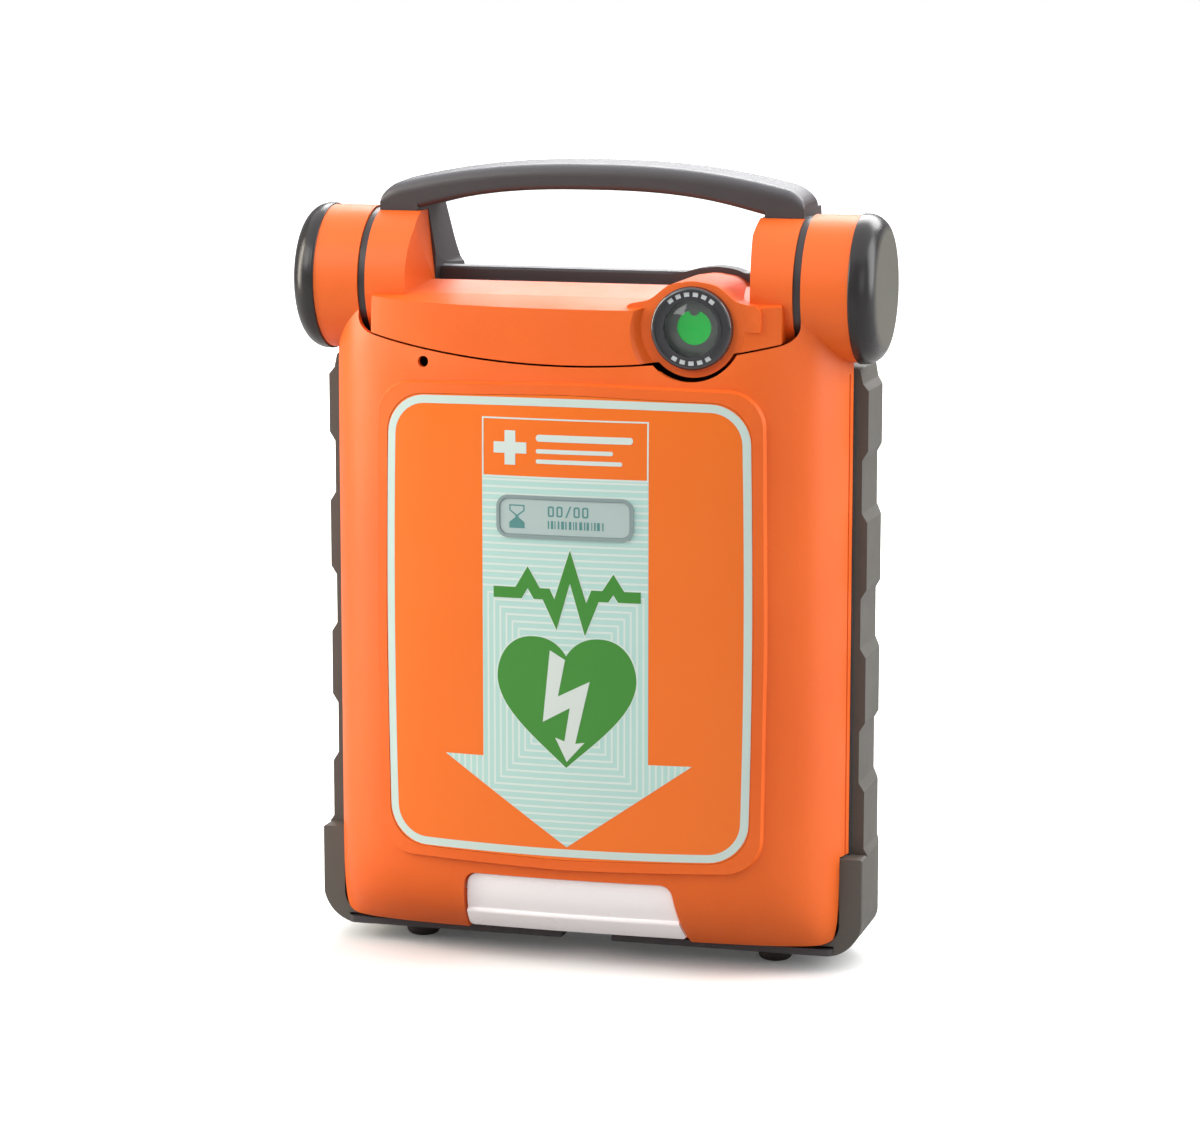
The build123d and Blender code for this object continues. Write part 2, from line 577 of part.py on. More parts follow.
# hump of the base strip behind the indicator boss
strip_hump = prism_xz([(28, HINGE_Z - 2), (28, HINGE_Z + 3.2), (34, HINGE_Z + 4.2, 25),
                       (40, HINGE_Z + 5.8, 25), (46.5, HINGE_Z + 6.5, 22),
                       (53, HINGE_Z + 5.8, 14), (57.8, HINGE_Z + 4.0),
                       (57.8, HINGE_Z - 2)], 4.74, 13)
with BuildPart() as carry_handle:
    add(handle_bar())
    add(both(handle_leg()))
    add(both(leg_front))
    add(base_strip)
    add(strip_hump)
    # fit it around the case, the hinge and the cover
    add(case_env, mode=Mode.SUBTRACT)
    add(both(hinge_cyl(BOSS_R, BOSS_IN, BOSS_ROOM_OUT)), mode=Mode.SUBTRACT)
    add(both(hinge_cyl(28.4, BLOCK_OUT - 0.01, 110)), mode=Mode.SUBTRACT)
    add(cover_part, mode=Mode.SUBTRACT)
    # screw wells at the back of both legs
    add(both(cyl_y(3.2, 20, 60, REAR_X[1], HANDLE_SCREW_Z)), mode=Mode.SUBTRACT)
    add(both(cyl_y(SCREW_R, 5, 21, REAR_X[1], HANDLE_SCREW_Z)), mode=Mode.SUBTRACT)
save(Part(largest(carry_handle.part).wrapped), "carry_handle")

# ---------------------------------------------------------------- side bumpers
BUMP_OUT, BUMP_BOTTOM = 107.5, 5.8
BUMP_STEP_Y = -1.2       # in front of this only the low corner guard remains
# Front view: x, z, corner radius; x 106 are the pads, x 103.8 the dips between them
BUMP_PROFILE = [(96, 229.3), (102.6, 229.3, 1.2), (103.8, 223.6, 0.8), (106, 221.0, 0.8),
                (106, 198.5, 0.8), (103.8, 195.0, 0.8), (103.8, 175.0, 0.8),
                (106, 171.5, 0.8), (106, 146, 0.8), (103.8, 142.5, 0.8),
                (103.8, 123.5, 0.8), (106, 120, 0.8), (106, 95.2, 0.8), (103.8, 91.7, 0.8),
                (103.8, 72.0, 0.8), (106, 68.5, 0.8), (106, 46.4, 0.6),
                (BUMP_OUT, 44.2, 0.6), (BUMP_OUT, BUMP_BOTTOM, 15), (84, BUMP_BOTTOM), (84, 30)]
CORNER_PROFILE = [(86.4, BUMP_BOTTOM), (BUMP_OUT, BUMP_BOTTOM, 15), (BUMP_OUT, 44.2, 1.0),
                  (98.7, 44.2), (98.7, 10.2, 8), (86.4, 10.2)]


def side_bumper():
    """Bumper of the right-hand side."""
    plan = prism_xy([(80, -10.8), (BUMP_OUT, -10.8, 1.6), (BUMP_OUT, 30.5, 11), (80, 30.5)],
                    0, 230)
    high = prism_xz(BUMP_PROFILE, BUMP_STEP_Y, 31)
    low = prism_xz(CORNER_PROFILE, -10.2, BUMP_STEP_Y)
    solid = ((high + low) & plan) - case_env
    solid = solid - prism_xy(LIP_PLAN, 0, 10.0)
    solid = largest(solid)
    front_edges = [edge for edge in solid.edges()
                   if abs(edge.center().Y - BUMP_STEP_Y) < 0.05
                   and edge.center().X > 102 and edge.center().Z > 46]
    return soften(Part(solid.wrapped), front_edges, [1.0, 0.7]).solids()[0]


for side, solid in zip(("right", "left"), both(side_bumper())):
    save_joined("side_bumper_" + side, solid)

# ---------------------------------------------------------------- feet and back pads
with BuildPart() as foot:
    add(cyl_z(6.5, 0, CASE_BOTTOM, 0, 0))
    fillet(foot.edges().group_by(Axis.Z)[0], 2.4)
    add(cyl_z(FOOT_PEG_R, CASE_BOTTOM, CASE_BOTTOM + FOOT_PEG, 0, 0))
save_joined("feet", *[foot.part.moved(Location((x, y, 0))) for x, y in FEET])

with BuildPart() as back_pads:
    for x in REAR_X:
        for z in PAD_ZS:
            add(cyl_y(PAD_R, BACK_Y - PAD_SINK, BACK_Y + 2.35, x, z))
    fillet(back_pads.edges().group_by(Axis.Y)[-1], 0.8)
save(back_pads.part, "back_pads")

# ---------------------------------------------------------------- hinge hardware
save_joined("hinge_pins", both(hinge_cyl(PIN_R, PIN_IN, 98.4)))
ring = (hinge_cyl(26.6, BLOCK_OUT, BARREL_IN - 0.2)
        - hinge_cyl(PIN_R, BLOCK_OUT - 1, BARREL_IN + 1))
save_joined("hinge_rings", both(ring.solids()[0]))

with BuildPart() as hinge_bushes:
    add(both(hinge_cyl(BUSH_R, BARREL_IN + 0.2, 98.9)))
    add(both(hinge_cyl(PIN_R + PIN_GAP, BARREL_IN - 1, 110)), mode=Mode.SUBTRACT)
save(hinge_bushes.part, "hinge_bushes")


def end_cap():
    """Rounded cap on the right-hand lid barrel, with a hollow spigot inside the barrel."""
    with BuildPart() as cap:
        add(hinge_cyl(27.9, BARREL_OUT, CAP_OUT))
        fillet(cap.edges().group_by(Axis.X)[-1], 7.8)
        fillet(cap.edges().filter_by(GeomType.CIRCLE).group_by(Axis.X)[0], 0.7)
        add(hinge_cyl(BARREL_R - 3.0, 100.2, BARREL_OUT))
        add(hinge_cyl(20.5, 99.0, BARREL_OUT + 2.5), mode=Mode.SUBTRACT)
    return largest(cap.part)


for side, solid in zip(("right", "left"), both(end_cap())):
    save_joined("end_cap_" + side, solid)

# ---------------------------------------------------------------- on and inside the lid
save_joined("graphic_panel",
            (label_top_form - label_floor_form) & prism_xz(label_outline(0.15), AHEAD, -20))

# raised frame on the graphic panel
date_top = lid_form(FACE_RAISE + 0.5)
date_floor = lid_form(FACE_RAISE + 0.1)
date_outer = prism_xz(rect(-25.8, 26.9, 167.4, 183.4, 4.5), AHEAD, -20)
date_inner = prism_xz(rect(-24.6, 25.7, 168.6, 182.2, 3.4), AHEAD, -20)
with BuildPart() as date_window:
    add((date_top - label_top_form) & date_outer)
    add((date_top - date_floor) & date_inner, mode=Mode.SUBTRACT)
save(date_window.part, "date_window")

# liner against the inside of the lid, with five slots
liner_core = lid_form(-WALL - 1.8, lift=WALL, back=4.0)
with BuildPart() as lid_liner:
    add((inner_form - liner_core) & prism_xz(rect(-80, 80, 44, 206, 10), AHEAD, -8))
    for k in range(5):
        add(prism_xz(rect(-50, 50, 66 + 26 * k, 69 + 26 * k, 1), AHEAD, -20),
            mode=Mode.SUBTRACT)
save(lid_liner.part, "lid_liner")

save_joined("lid_magnet", cyl_y(4.0, -13.6, -11.6, 28, 25))

# ---------------------------------------------------------------- latch
LATCH_LIP_Z = 21.6       # the flap is thicker below this height
flap_outline = prism_xz([(-39.5, 36.4, 4.6), (39.5, 36.4, 4.6),
                         (42.9, 12.6, 1.5), (-42.9, 12.6, 1.5)], AHEAD, -12)
lip_outline = prism_xz([(-50, LATCH_LIP_Z), (50, LATCH_LIP_Z), (50, 10), (-50, 10)],
                       AHEAD, -12)
flap_back = lid_form(-4.5)
flap_plate = (lid_form(-2.0) - flap_back) & flap_outline
lip_plate = (lid_form(-0.2) - flap_back) & flap_outline & lip_outline
lip_edges = [edge for edge in lip_plate.edges()
             if abs(edge.center().Z - LATCH_LIP_Z) < 0.1 and edge.center().Y < -32]
lip_plate = soften(lip_plate, lip_edges, [1.2, 0.8])
with BuildPart() as latch_handle:
    add(flap_plate)
    add(lip_plate)
    add(cyl_x(2.4, -30, 30, LATCH_Y, LATCH_Z))
    # tongue running back to the catch, with an upturned end
    add(block(-6, 6, -25.0, -6.6, 13.6, 15.4))
    add(block(-6, 6, -8.6, -6.6, 15.4, 16.5))
    add(cyl_x(LATCH_PIN_R + PIN_GAP, -45, 45, LATCH_Y, LATCH_Z), mode=Mode.SUBTRACT)
save(latch_handle.part, "latch_handle")

save_joined("latch_pin", cyl_x(LATCH_PIN_R, -42.9, 42.9, LATCH_Y, LATCH_Z))
# shelf with a downturned front edge, and its foot on the deck
save_joined("latch_catch",
            block(-14, 14, -10.6, RIM_Y, 18.6, 19.8),
            block(-14, 14, -10.6, -9.4, 17.1, 18.6),
            block(-14, 14, RIM_Y - 1.2, RIM_Y, 14.0, 18.6))

# ---------------------------------------------------------------- control deck
LCD_OUTLINE = rect(-36, 36, 194, 222, 3)
LCD_SEAT = -6.6          # floor of the recess for the window
with BuildPart() as control_deck:
    add(prism_xz(frame_outline(0.25), RIM_Y, SEAL_Y))
    add(prism_xz(rect(-91, 91, 21, 226, 6), DECK_Y, RIM_Y))
    add(prism_xz(rect(-88.6, 88.6, 23.4, 223.6, 4), DECK_INNER, 1), mode=Mode.SUBTRACT)
    # window recess and opening, button holes, socket opening
    add(prism_xz(LCD_OUTLINE, -9, LCD_SEAT), mode=Mode.SUBTRACT)
    add(prism_xz(rect(-32, 32, 197.5, 218.5, 2), -9, -5), mode=Mode.SUBTRACT)
    add(cyl_y(11.0, -9, -5, SHOCK_X, BUTTON_Z), mode=Mode.SUBTRACT)
    add(cyl_y(6.4, -9, -5, LANG_X, BUTTON_Z), mode=Mode.SUBTRACT)
    add(block_at(SOCKET_X, SOCKET_Z, 10, 8, -9, -5), mode=Mode.SUBTRACT)
    # speaker slots
    for k in range(5):
        add(block(SPEAKER_X - 8, SPEAKER_X + 8, -9, -5, 87 + 4 * k, 89 + 4 * k),
            mode=Mode.SUBTRACT)
    for x, z in DECK_SCREWS:
        add(cyl_y(DECK_SCREW_R, -4, 1, x, z), mode=Mode.SUBTRACT)
save(control_deck.part, "control_deck")

with BuildPart() as case_seal:
    add(prism_xz(frame_outline(0.4), SEAL_Y, 0.0) - prism_xz(frame_outline(4.8), -2, 1))
    for x, z in DECK_SCREWS:
        add(cyl_y(DECK_SCREW_R, -4, 1, x, z), mode=Mode.SUBTRACT)
save(case_seal.part, "case_seal")

with BuildPart() as deck_screws:
    for x, z in DECK_SCREWS:
        add(cyl_y(2.2, RIM_Y - 1.1, RIM_Y, x, z))
        add(cyl_y(DECK_SCREW_R, RIM_Y, 2.6, x, z))
        for half_x, half_z in ((1.6, 0.3), (0.3, 1.6)):    # cross slot
            add(block_at(x, z, half_x, half_z, RIM_Y - 1.3, RIM_Y - 0.6), mode=Mode.SUBTRACT)
save(deck_screws.part, "deck_screws")

save_joined("lcd_window", prism_xz(LCD_OUTLINE, -7.9, LCD_SEAT))
save_joined("lcd_display", block(-34, 34, DECK_INNER, -2.4, 195, 221))


def save_button(name, x, radius, front_y, edge_r, collar_r):
    """Round button with a softened front edge and a collar behind the deck."""
    with BuildPart() as button:
        add(cyl_y(radius, front_y, -4.0, x, BUTTON_Z))
        fillet(button.edges().group_by(Axis.Y)[0], edge_r)
        add(cyl_y(collar_r, -5.4, -4.0, x, BUTTON_Z))
    save(button.part, name)


save_button("shock_button", SHOCK_X, radius=10.8, front_y=-11.0, edge_r=1.4, collar_r=12.4)
save_button("language_button", LANG_X, radius=6.2, front_y=-10.0, edge_r=1.0, collar_r=7.8)

with BuildPart() as speaker:
    add(cyl_y(11.4, DECK_INNER, -3.6, SPEAKER_X, SPEAKER_Z))
    add(cyl_y(7.5, -3.6, 2.4, SPEAKER_X, SPEAKER_Z))
    add(cyl_y(9.8, -6, -4.6, SPEAKER_X, SPEAKER_Z), mode=Mode.SUBTRACT)
save(speaker.part, "speaker")

# ---------------------------------------------------------------- electrode pads
PLUG_FRONT, PLUG_END = -16.0, -19.0      # front of the plug's body, end of its stem
with BuildPart() as pads_socket:
    add(block_at(SOCKET_X, SOCKET_Z, 10, 8, -9.4, -2.0))
    add(block_at(SOCKET_X, SOCKET_Z, 6, 5, -10, -3.4), mode=Mode.SUBTRACT)
save(pads_socket.part, "pads_socket")

with BuildPart() as pads_plug:
    add(block_at(SOCKET_X, SOCKET_Z, 5.9, 4.9, PLUG_FRONT, -3.6))
    fillet(pads_plug.edges().group_by(Axis.Y)[0], 1.2)
    add(cyl_y(2.4, PLUG_END, PLUG_FRONT, SOCKET_X, SOCKET_Z))
save(pads_plug.part, "pads_plug")

with BuildPart() as pouch_room:
    add(block(-58.9, 58.9, -28.4, -9.1, 47.1, 188.9))
    fillet(pouch_room.edges(), 5.9)
with BuildPart() as pads_pouch:
    add(block(-60, 60, -29.5, -8.0, 46, 190))
    fillet(pads_pouch.edges(), 7)
    add(pouch_room.part, mode=Mode.SUBTRACT)
save(pads_pouch.part, "pads_pouch")

# two pads, one on each side of a release sheet
PAD_OUTLINE = rect(-49, 49, 58, 178, 18)
save_joined("electrode_pads",
            prism_xz(PAD_OUTLINE, -12.1, -9.1),
            prism_xz(PAD_OUTLINE, -16.0, -13.0),
            prism_xz(rect(-52, 52, 55.5, 180.5, 4), -12.9, -12.2))

# cable from the plug's stem to the pouch
cable_start = (SOCKET_X, PLUG_END, SOCKET_Z)
with BuildPart() as pads_cable:
    with BuildLine() as cable_path:
        Spline(cable_start, (74.5, -22.5, 64), (68.5, -22.0, 74), (60.0, -18.5, 80),
               tangents=((0, -1, 0), (-1, 0, 0)))
    with BuildSketch(Plane(cable_start, x_dir=(1, 0, 0), z_dir=(0, -1, 0))):
        Circle(1.7)
    sweep(path=cable_path.line)
save(pads_cable.part, "pads_cable")

# ---------------------------------------------------------------- electronics
with BuildPart() as main_board:
    add(block(-88, 88, BOARD_FRONT, BOARD_BACK, 18, 219))
    for x, z in BOARD_POSTS:
        add(cyl_y(1.3, 7, 11, x, z), mode=Mode.SUBTRACT)
    # clearance around the lower case screw pillars
    for x in (-60, 60):
        add(cyl_y(6.2, 7, 11, x, 170), mode=Mode.SUBTRACT)
save(main_board.part, "main_board")

with BuildPart() as board_screws:
    for x, z in BOARD_POSTS:
        add(cyl_y(2.4, 6.2, BOARD_FRONT, x, z))
        add(cyl_y(1.2, BOARD_FRONT, 18.0, x, z))
save(board_screws.part, "board_screws")

with BuildPart() as tact_switches:
    for x, plunger_y in ((SHOCK_X, -1.8), (LANG_X, -2.3)):
        add(block_at(x, BUTTON_Z, 3.5, 3.5, 1.0, BOARD_FRONT))
        add(cyl_y(1.7, plunger_y, 1.0, x, BUTTON_Z))
save(tact_switches.part, "tact_switches")

with BuildPart() as capacitor:
    add(cyl_x(13.5, 10, 86, 23.1, 104))
    fillet(capacitor.edges().group_by(Axis.X)[0], 1.5)
    fillet(capacitor.edges().group_by(Axis.X)[-1], 1.5)
save(capacitor.part, "capacitor")

save_joined("transformer",
            block_at(29, 53, 17, 17, BOARD_BACK, 32.0), block_at(29, 53, 11, 11, 30.0, 35.0))
save_joined("relay", block(56, 80, BOARD_BACK, 25.0, 38, 60))
save_joined("reed_switch", cyl_x(1.5, 20, 36, 6.5, 25))
save_joined("battery_contacts", block_at(BAT_MID, CONTACT_Z, 6, 4, BOARD_BACK, BAT_Y0))

# ---------------------------------------------------------------- battery
with BuildPart() as battery_pack:
    add(block(BAT_X0 + 0.3, BAT_X1 - 0.3, BAT_Y0 + 0.2, BACK_Y, BAT_Z0 + 0.3, BAT_Z1 - 0.3))
    fillet(battery_pack.edges().filter_by(Axis.Y), 0.8)
    # latch pocket, round recess and four grooves in the back, room for the cells
    add(block(BAT_MID - 7.6, BAT_MID + 7.6, 34.9, 45, 136.0, 152), mode=Mode.SUBTRACT)
    add(cyl_y(9.0, BACK_Y - 2.0, BACK_Y + 1, BAT_MID, 38), mode=Mode.SUBTRACT)
    for k in range(4):
        add(block(-84, -16, BACK_Y - 0.8, BACK_Y + 1, 62 + 16 * k, 65 + 16 * k),
            mode=Mode.SUBTRACT)
    for x, z in CELLS:
        add(cyl_z(CELL_R + 0.12, z - 0.1, z + CELL_LEN + 0.1, x, CELL_Y), mode=Mode.SUBTRACT)
save(battery_pack.part, "battery_pack")

save_joined("battery_cells", *[cyl_z(CELL_R, z, z + CELL_LEN, x, CELL_Y) for x, z in CELLS])

with BuildPart() as battery_latch:
    add(block(BAT_MID - 7.3, BAT_MID + 7.3, 35.2, 41.2, 136.3, 145.8))
    add(block(BAT_MID - 7.3, BAT_MID + 7.3, 35.2, 37.8, 145.8, 148.3))
    for k in range(3):   # finger ribs
        add(block(BAT_MID - 6, BAT_MID + 6, 41.2, 41.9, 138 + 2.4 * k, 139.2 + 2.4 * k))
save(battery_latch.part, "battery_latch")

save_joined("rating_plate",
            block_at(PLATE_X, PLATE_Z, 33.9, 23.9, BACK_Y - 0.6, BACK_Y - 0.05))

# ---------------------------------------------------------------- status indicator
WINDOW_R = 10.4          # bore of the bezel, radius of lens and mask
COIL_FRONT = -25.5
FLAG_BACK = -28.6
SPINDLE_R = 1.0
LENS_R, LENS_FRONT = 26.0, -36.4     # dome radius of the lens, y of its crown
with BuildPart() as indicator_bezel:
    add(ind_cyl(15.25, -36.5, IND_FACE))
    fillet(indicator_bezel.edges().group_by(Axis.Y)[0], 1.2)
    add(ind_cyl(15.4, IND_FACE, COIL_FRONT))
    # ring groove in the face, window bore, spindle hole
    add(ind_cyl(13.6, -37, -36.0) - ind_cyl(11.6, -38, -35), mode=Mode.SUBTRACT)
    add(ind_cyl(WINDOW_R, -40, -28.0), mode=Mode.SUBTRACT)
    add(ind_cyl(1.8, -32, -24), mode=Mode.SUBTRACT)
save(indicator_bezel.part, "indicator_bezel")

lens_dome = Solid.make_sphere(LENS_R, Plane((IND_X, LENS_FRONT + LENS_R, IND_Z)), -90, 90, 360)
save_joined("indicator_lens", ind_cyl(WINDOW_R, -40, -33.0) & lens_dome)

# disc with a round opening, notched at its top by a small tab
mask_opening = ind_cyl(5.9, -32, -28) - cyl_y(1.6, -33, -27, IND_X, IND_Z + 5.6)
save_joined("indicator_mask", ind_cyl(WINDOW_R, -30.6, -29.8) - mask_opening)

save_joined("indicator_flag",
            ind_cyl(9.9, -29.3, FLAG_BACK), ind_cyl(SPINDLE_R, FLAG_BACK, -11.0))

with BuildPart() as indicator_coil:
    add(ind_cyl(8.0, COIL_FRONT, -12.0))
    add(ind_cyl(SPINDLE_R + PIN_GAP, -30, -9), mode=Mode.SUBTRACT)
save(indicator_coil.part, "indicator_coil")

# ---------------------------------------------------------------- case and handle screws
with BuildPart() as case_screws:
    for x, z in CASE_SCREWS:
        add(cyl_y(3.3, BACK_Y - 5.5, BACK_Y - 3.0, x, z))
        add(cyl_y(SCREW_R, 20.0, BACK_Y - 5.5, x, z))
        add(cyl_y(1.4, BACK_Y - 4.4, BACK_Y, x, z), mode=Mode.SUBTRACT)
save(case_screws.part, "case_screws")

with BuildPart() as handle_screws:
    for x in REAR_X:
        add(cyl_y(3.0, 20.0, 22.4, x, HANDLE_SCREW_Z))
        add(cyl_y(SCREW_R, 7.0, 20.0, x, HANDLE_SCREW_Z))
        add(cyl_y(1.3, 21.2, 24.0, x, HANDLE_SCREW_Z), mode=Mode.SUBTRACT)
save(handle_screws.part, "handle_screws")
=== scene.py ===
"""Portable defibrillator: finishes, printed front panel, foil pouch of pads and a studio set.

The case stands on z = 0 with its front facing -Y and its width along X. CAD pieces and the
scene are in metres; the printed shapes are drawn in millimetres as (x, z) seen from the front.
"""
import bpy
import bmesh
import math
import numpy as np
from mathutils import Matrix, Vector, geometry
from mathutils.bvhtree import BVHTree


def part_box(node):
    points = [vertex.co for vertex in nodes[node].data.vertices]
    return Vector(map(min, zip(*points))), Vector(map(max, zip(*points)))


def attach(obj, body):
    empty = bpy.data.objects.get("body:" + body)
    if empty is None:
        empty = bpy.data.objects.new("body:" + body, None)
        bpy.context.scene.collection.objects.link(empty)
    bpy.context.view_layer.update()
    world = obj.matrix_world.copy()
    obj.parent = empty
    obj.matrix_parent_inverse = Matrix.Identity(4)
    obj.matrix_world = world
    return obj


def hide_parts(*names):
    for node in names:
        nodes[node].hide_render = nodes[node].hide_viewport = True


START_FRAME = 1

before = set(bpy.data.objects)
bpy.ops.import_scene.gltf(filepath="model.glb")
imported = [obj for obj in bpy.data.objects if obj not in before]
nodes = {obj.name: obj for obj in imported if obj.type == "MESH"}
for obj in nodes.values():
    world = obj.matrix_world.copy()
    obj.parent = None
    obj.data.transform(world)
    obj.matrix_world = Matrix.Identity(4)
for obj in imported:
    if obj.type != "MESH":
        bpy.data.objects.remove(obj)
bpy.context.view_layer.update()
scene = bpy.context.scene
scene.frame_set(START_FRAME)


# ------------------------------------------------------------------ colours
def srgb(*channels):
    """Linear RGBA from 0-255 sRGB channels."""
    def linear(c):
        c /= 255.0
        return c / 12.92 if c <= 0.04045 else ((c + 0.055) / 1.055) ** 2.4
    return tuple(linear(c) for c in channels) + (1.0,)


def tint(colour, gain, lift=0.0):
    return tuple(min(1, c * gain + lift) for c in colour[:3]) + (1,)


def grey(level):
    return (level, level, level, 1)


# ------------------------------------------------------------------ material builder
class Material:
    """A node material built step by step, all from object coordinates in metres."""

    def __init__(self, name):
        self.block = bpy.data.materials.new(name)
        self.block.use_nodes = True
        self.tree = self.block.node_tree
        self.tree.nodes.clear()
        output = self.node("ShaderNodeOutputMaterial")
        self.shader = self.node("ShaderNodeBsdfPrincipled")
        self.feed(self.shader.outputs["BSDF"], output.inputs["Surface"])
        self.coords = self.node("ShaderNodeTexCoord").outputs["Object"]
        self.normal = None

    def node(self, kind, **settings):
        node = self.tree.nodes.new(kind)
        for key, value in settings.items():
            setattr(node, key, value)
        return node

    def feed(self, value, socket):
        """Link an output to the socket, or set the socket to a plain value."""
        if hasattr(value, "links"):
            self.tree.links.new(value, socket)
        else:
            socket.default_value = value

    def fill(self, node, **inputs):
        """Feed a node's inputs by name, with underscores for spaces."""
        for key, value in inputs.items():
            self.feed(value, node.inputs[key.replace("_", " ")])
        return node

    def set(self, **inputs):
        self.fill(self.shader, **inputs)
        return self

    def noise(self, scale, detail, rough=0.55, stretch=None):
        source = self.coords
        if stretch:
            mapping = self.fill(self.node("ShaderNodeMapping"), Vector=source, Scale=stretch)
            source = mapping.outputs["Vector"]
        texture = self.fill(self.node("ShaderNodeTexNoise"), Vector=source, Scale=scale,
                            Detail=detail, Roughness=rough)
        return texture.outputs["Fac"]

    def remap(self, value, low, high, start=0.0, end=1.0):
        node = self.fill(self.node("ShaderNodeMapRange"), Value=value, From_Min=low,
                         From_Max=high, To_Min=start, To_Max=end)
        return node.outputs["Result"]

    def clouds(self, scale, detail, low=0.3, high=0.7, start=0.0, end=1.0, **noise):
        """Noise whose low..high range is spread over start..end."""
        return self.remap(self.noise(scale, detail, **noise), low, high, start, end)

    def mix(self, factor, first, second):
        node = self.node("ShaderNodeMix", data_type="RGBA")
        # inputs 0, 6 and 7 are the factor and the two colours of an RGBA mix
        for value, index in ((factor, 0), (first, 6), (second, 7)):
            self.feed(value, node.inputs[index])
        return node.outputs[2]

    def calc(self, operation, *values):
        node = self.node("ShaderNodeMath", operation=operation)
        for value, socket in zip(values, node.inputs):
            self.feed(value, socket)
        return node.outputs[0]

    def axes(self, vector):
        """The X, Y and Z outputs of a vector."""
        split = self.node("ShaderNodeSeparateXYZ")
        self.feed(vector, split.inputs[0])
        return split.outputs

    def geometry(self, output):
        return self.node("ShaderNodeNewGeometry").outputs[output]

    def bump(self, height, depth, strength=1.0):
        """Add a bump of the given depth (m) on top of those already made."""
        node = self.fill(self.node("ShaderNodeBump"), Strength=strength, Distance=depth,
                         Height=height)
        if self.normal is not None:
            self.feed(self.normal, node.inputs["Normal"])
        self.normal = node.outputs["Normal"]
        self.set(Normal=self.normal)

    def grain(self, scale, depth, detail=2.0, strength=1.0, **noise):
        self.bump(self.noise(scale, detail, **noise), depth, strength)


# ------------------------------------------------------------------ families of finish
def moulded_surface(material, base, rough, grain, grain_depth, specular):
    """Gloss and spark grain of a moulded polymer over the given base colour."""
    material.set(Base_Color=base, Specular_IOR_Level=specular, Coat_Roughness=0.12,
                 Roughness=material.clouds(scale=60.0, detail=4.0,
                                           start=rough - 0.05, end=rough + 0.05))
    material.grain(scale=grain, depth=grain_depth, rough=0.6)
    material.grain(scale=34.0, depth=0.00006, strength=0.35)
    return material


def moulded(name, colour, rough, grain, dark=None, grain_depth=0.00002, specular=0.5, wear=0.0,
            mottling=0.05):
    """Injection-moulded polymer: slow colour drift, specks and, with wear, paler edges."""
    m = Material(name)
    base = m.mix(m.clouds(scale=14.0, detail=2.0),
                 dark or tint(colour, 1 - mottling * 2), tint(colour, 1 + mottling))
    specks = m.clouds(scale=grain * 0.5, detail=2.0, low=0.35, end=0.10)
    base = m.mix(specks, base, tint(colour, 0.8))
    if wear:
        edges = m.remap(m.geometry("Pointiness"), low=0.52, high=0.60, end=wear)
        base = m.mix(edges, base, tint(colour, 1.25, lift=0.03))
    return moulded_surface(m, base, rough, grain, grain_depth, specular)


def rubber_surface(material):
    material.set(Specular_IOR_Level=0.4)
    material.grain(scale=1500.0, depth=0.00004, detail=3.0, rough=0.7)
    material.grain(scale=120.0, depth=0.00005, detail=3.0, strength=0.4)
    return material


def rubber(name, colour, rough):
    """Mottled rubber with dust in patches and along the edges."""
    m = Material(name)
    dusty = tint(colour, 1.5, lift=0.02)
    base = m.mix(m.clouds(scale=22.0, detail=4.0), colour, tint(colour, 1.18, lift=0.004))
    patches = m.clouds(scale=9.0, detail=6.0, rough=0.7, low=0.55, high=0.8, end=0.25)
    base = m.mix(patches, base, dusty)
    edges = m.remap(m.geometry("Pointiness"), low=0.51, high=0.58, end=0.3)
    m.set(Base_Color=m.mix(edges, base, dusty),
          Roughness=m.clouds(scale=45.0, detail=5.0, start=rough - 0.07, end=rough + 0.07))
    return rubber_surface(m)


def metal(name, colour, rough=0.28, stretch=(1, 1, 1), scale=900.0):
    """Bare metal; stretch draws the grain out into brush lines."""
    m = Material(name)
    brush = {"scale": scale, "rough": 0.6, "stretch": stretch}
    m.set(Base_Color=m.mix(m.noise(scale=80.0, detail=4.0), tint(colour, 0.85), colour),
          Metallic=1.0,
          Roughness=m.clouds(detail=3.0, start=rough - 0.08, end=rough + 0.1, **brush))
    m.grain(depth=0.00001, **brush)
    return m


def glossy(name, colour, rough, coat=0.5):
    """Polished polymer under a clear coat."""
    m = Material(name)
    light = tint(colour, 1.12, lift=0.003)
    m.set(Base_Color=m.mix(m.noise(scale=18.0, detail=3.0), colour, light),
          Roughness=m.clouds(scale=70.0, detail=5.0, high=0.75, start=rough, end=rough + 0.08),
          Coat_Weight=coat, Coat_Roughness=0.05)
    m.grain(scale=240.0, depth=0.000012, strength=0.5)
    return m


def clear(name, colour):
    m = Material(name)
    m.set(Base_Color=colour, Transmission_Weight=1.0, IOR=1.46,
          Roughness=m.clouds(scale=120.0, detail=4.0, low=0.4, high=0.8, start=0.03, end=0.06))
    m.grain(scale=60.0, depth=0.00001, strength=0.3)
    return m


def printed(name, colour, rough=0.32, coat=0.25):
    """Smooth printed ink."""
    m = Material(name)
    m.set(Base_Color=m.mix(m.clouds(scale=16.0, detail=3.0), colour, tint(colour, 1.05)),
          Roughness=m.clouds(scale=70.0, detail=4.0, start=rough - 0.03, end=rough + 0.05),
          Coat_Weight=coat, Coat_Roughness=0.15)
    m.grain(scale=900.0, depth=0.000008)
    return m


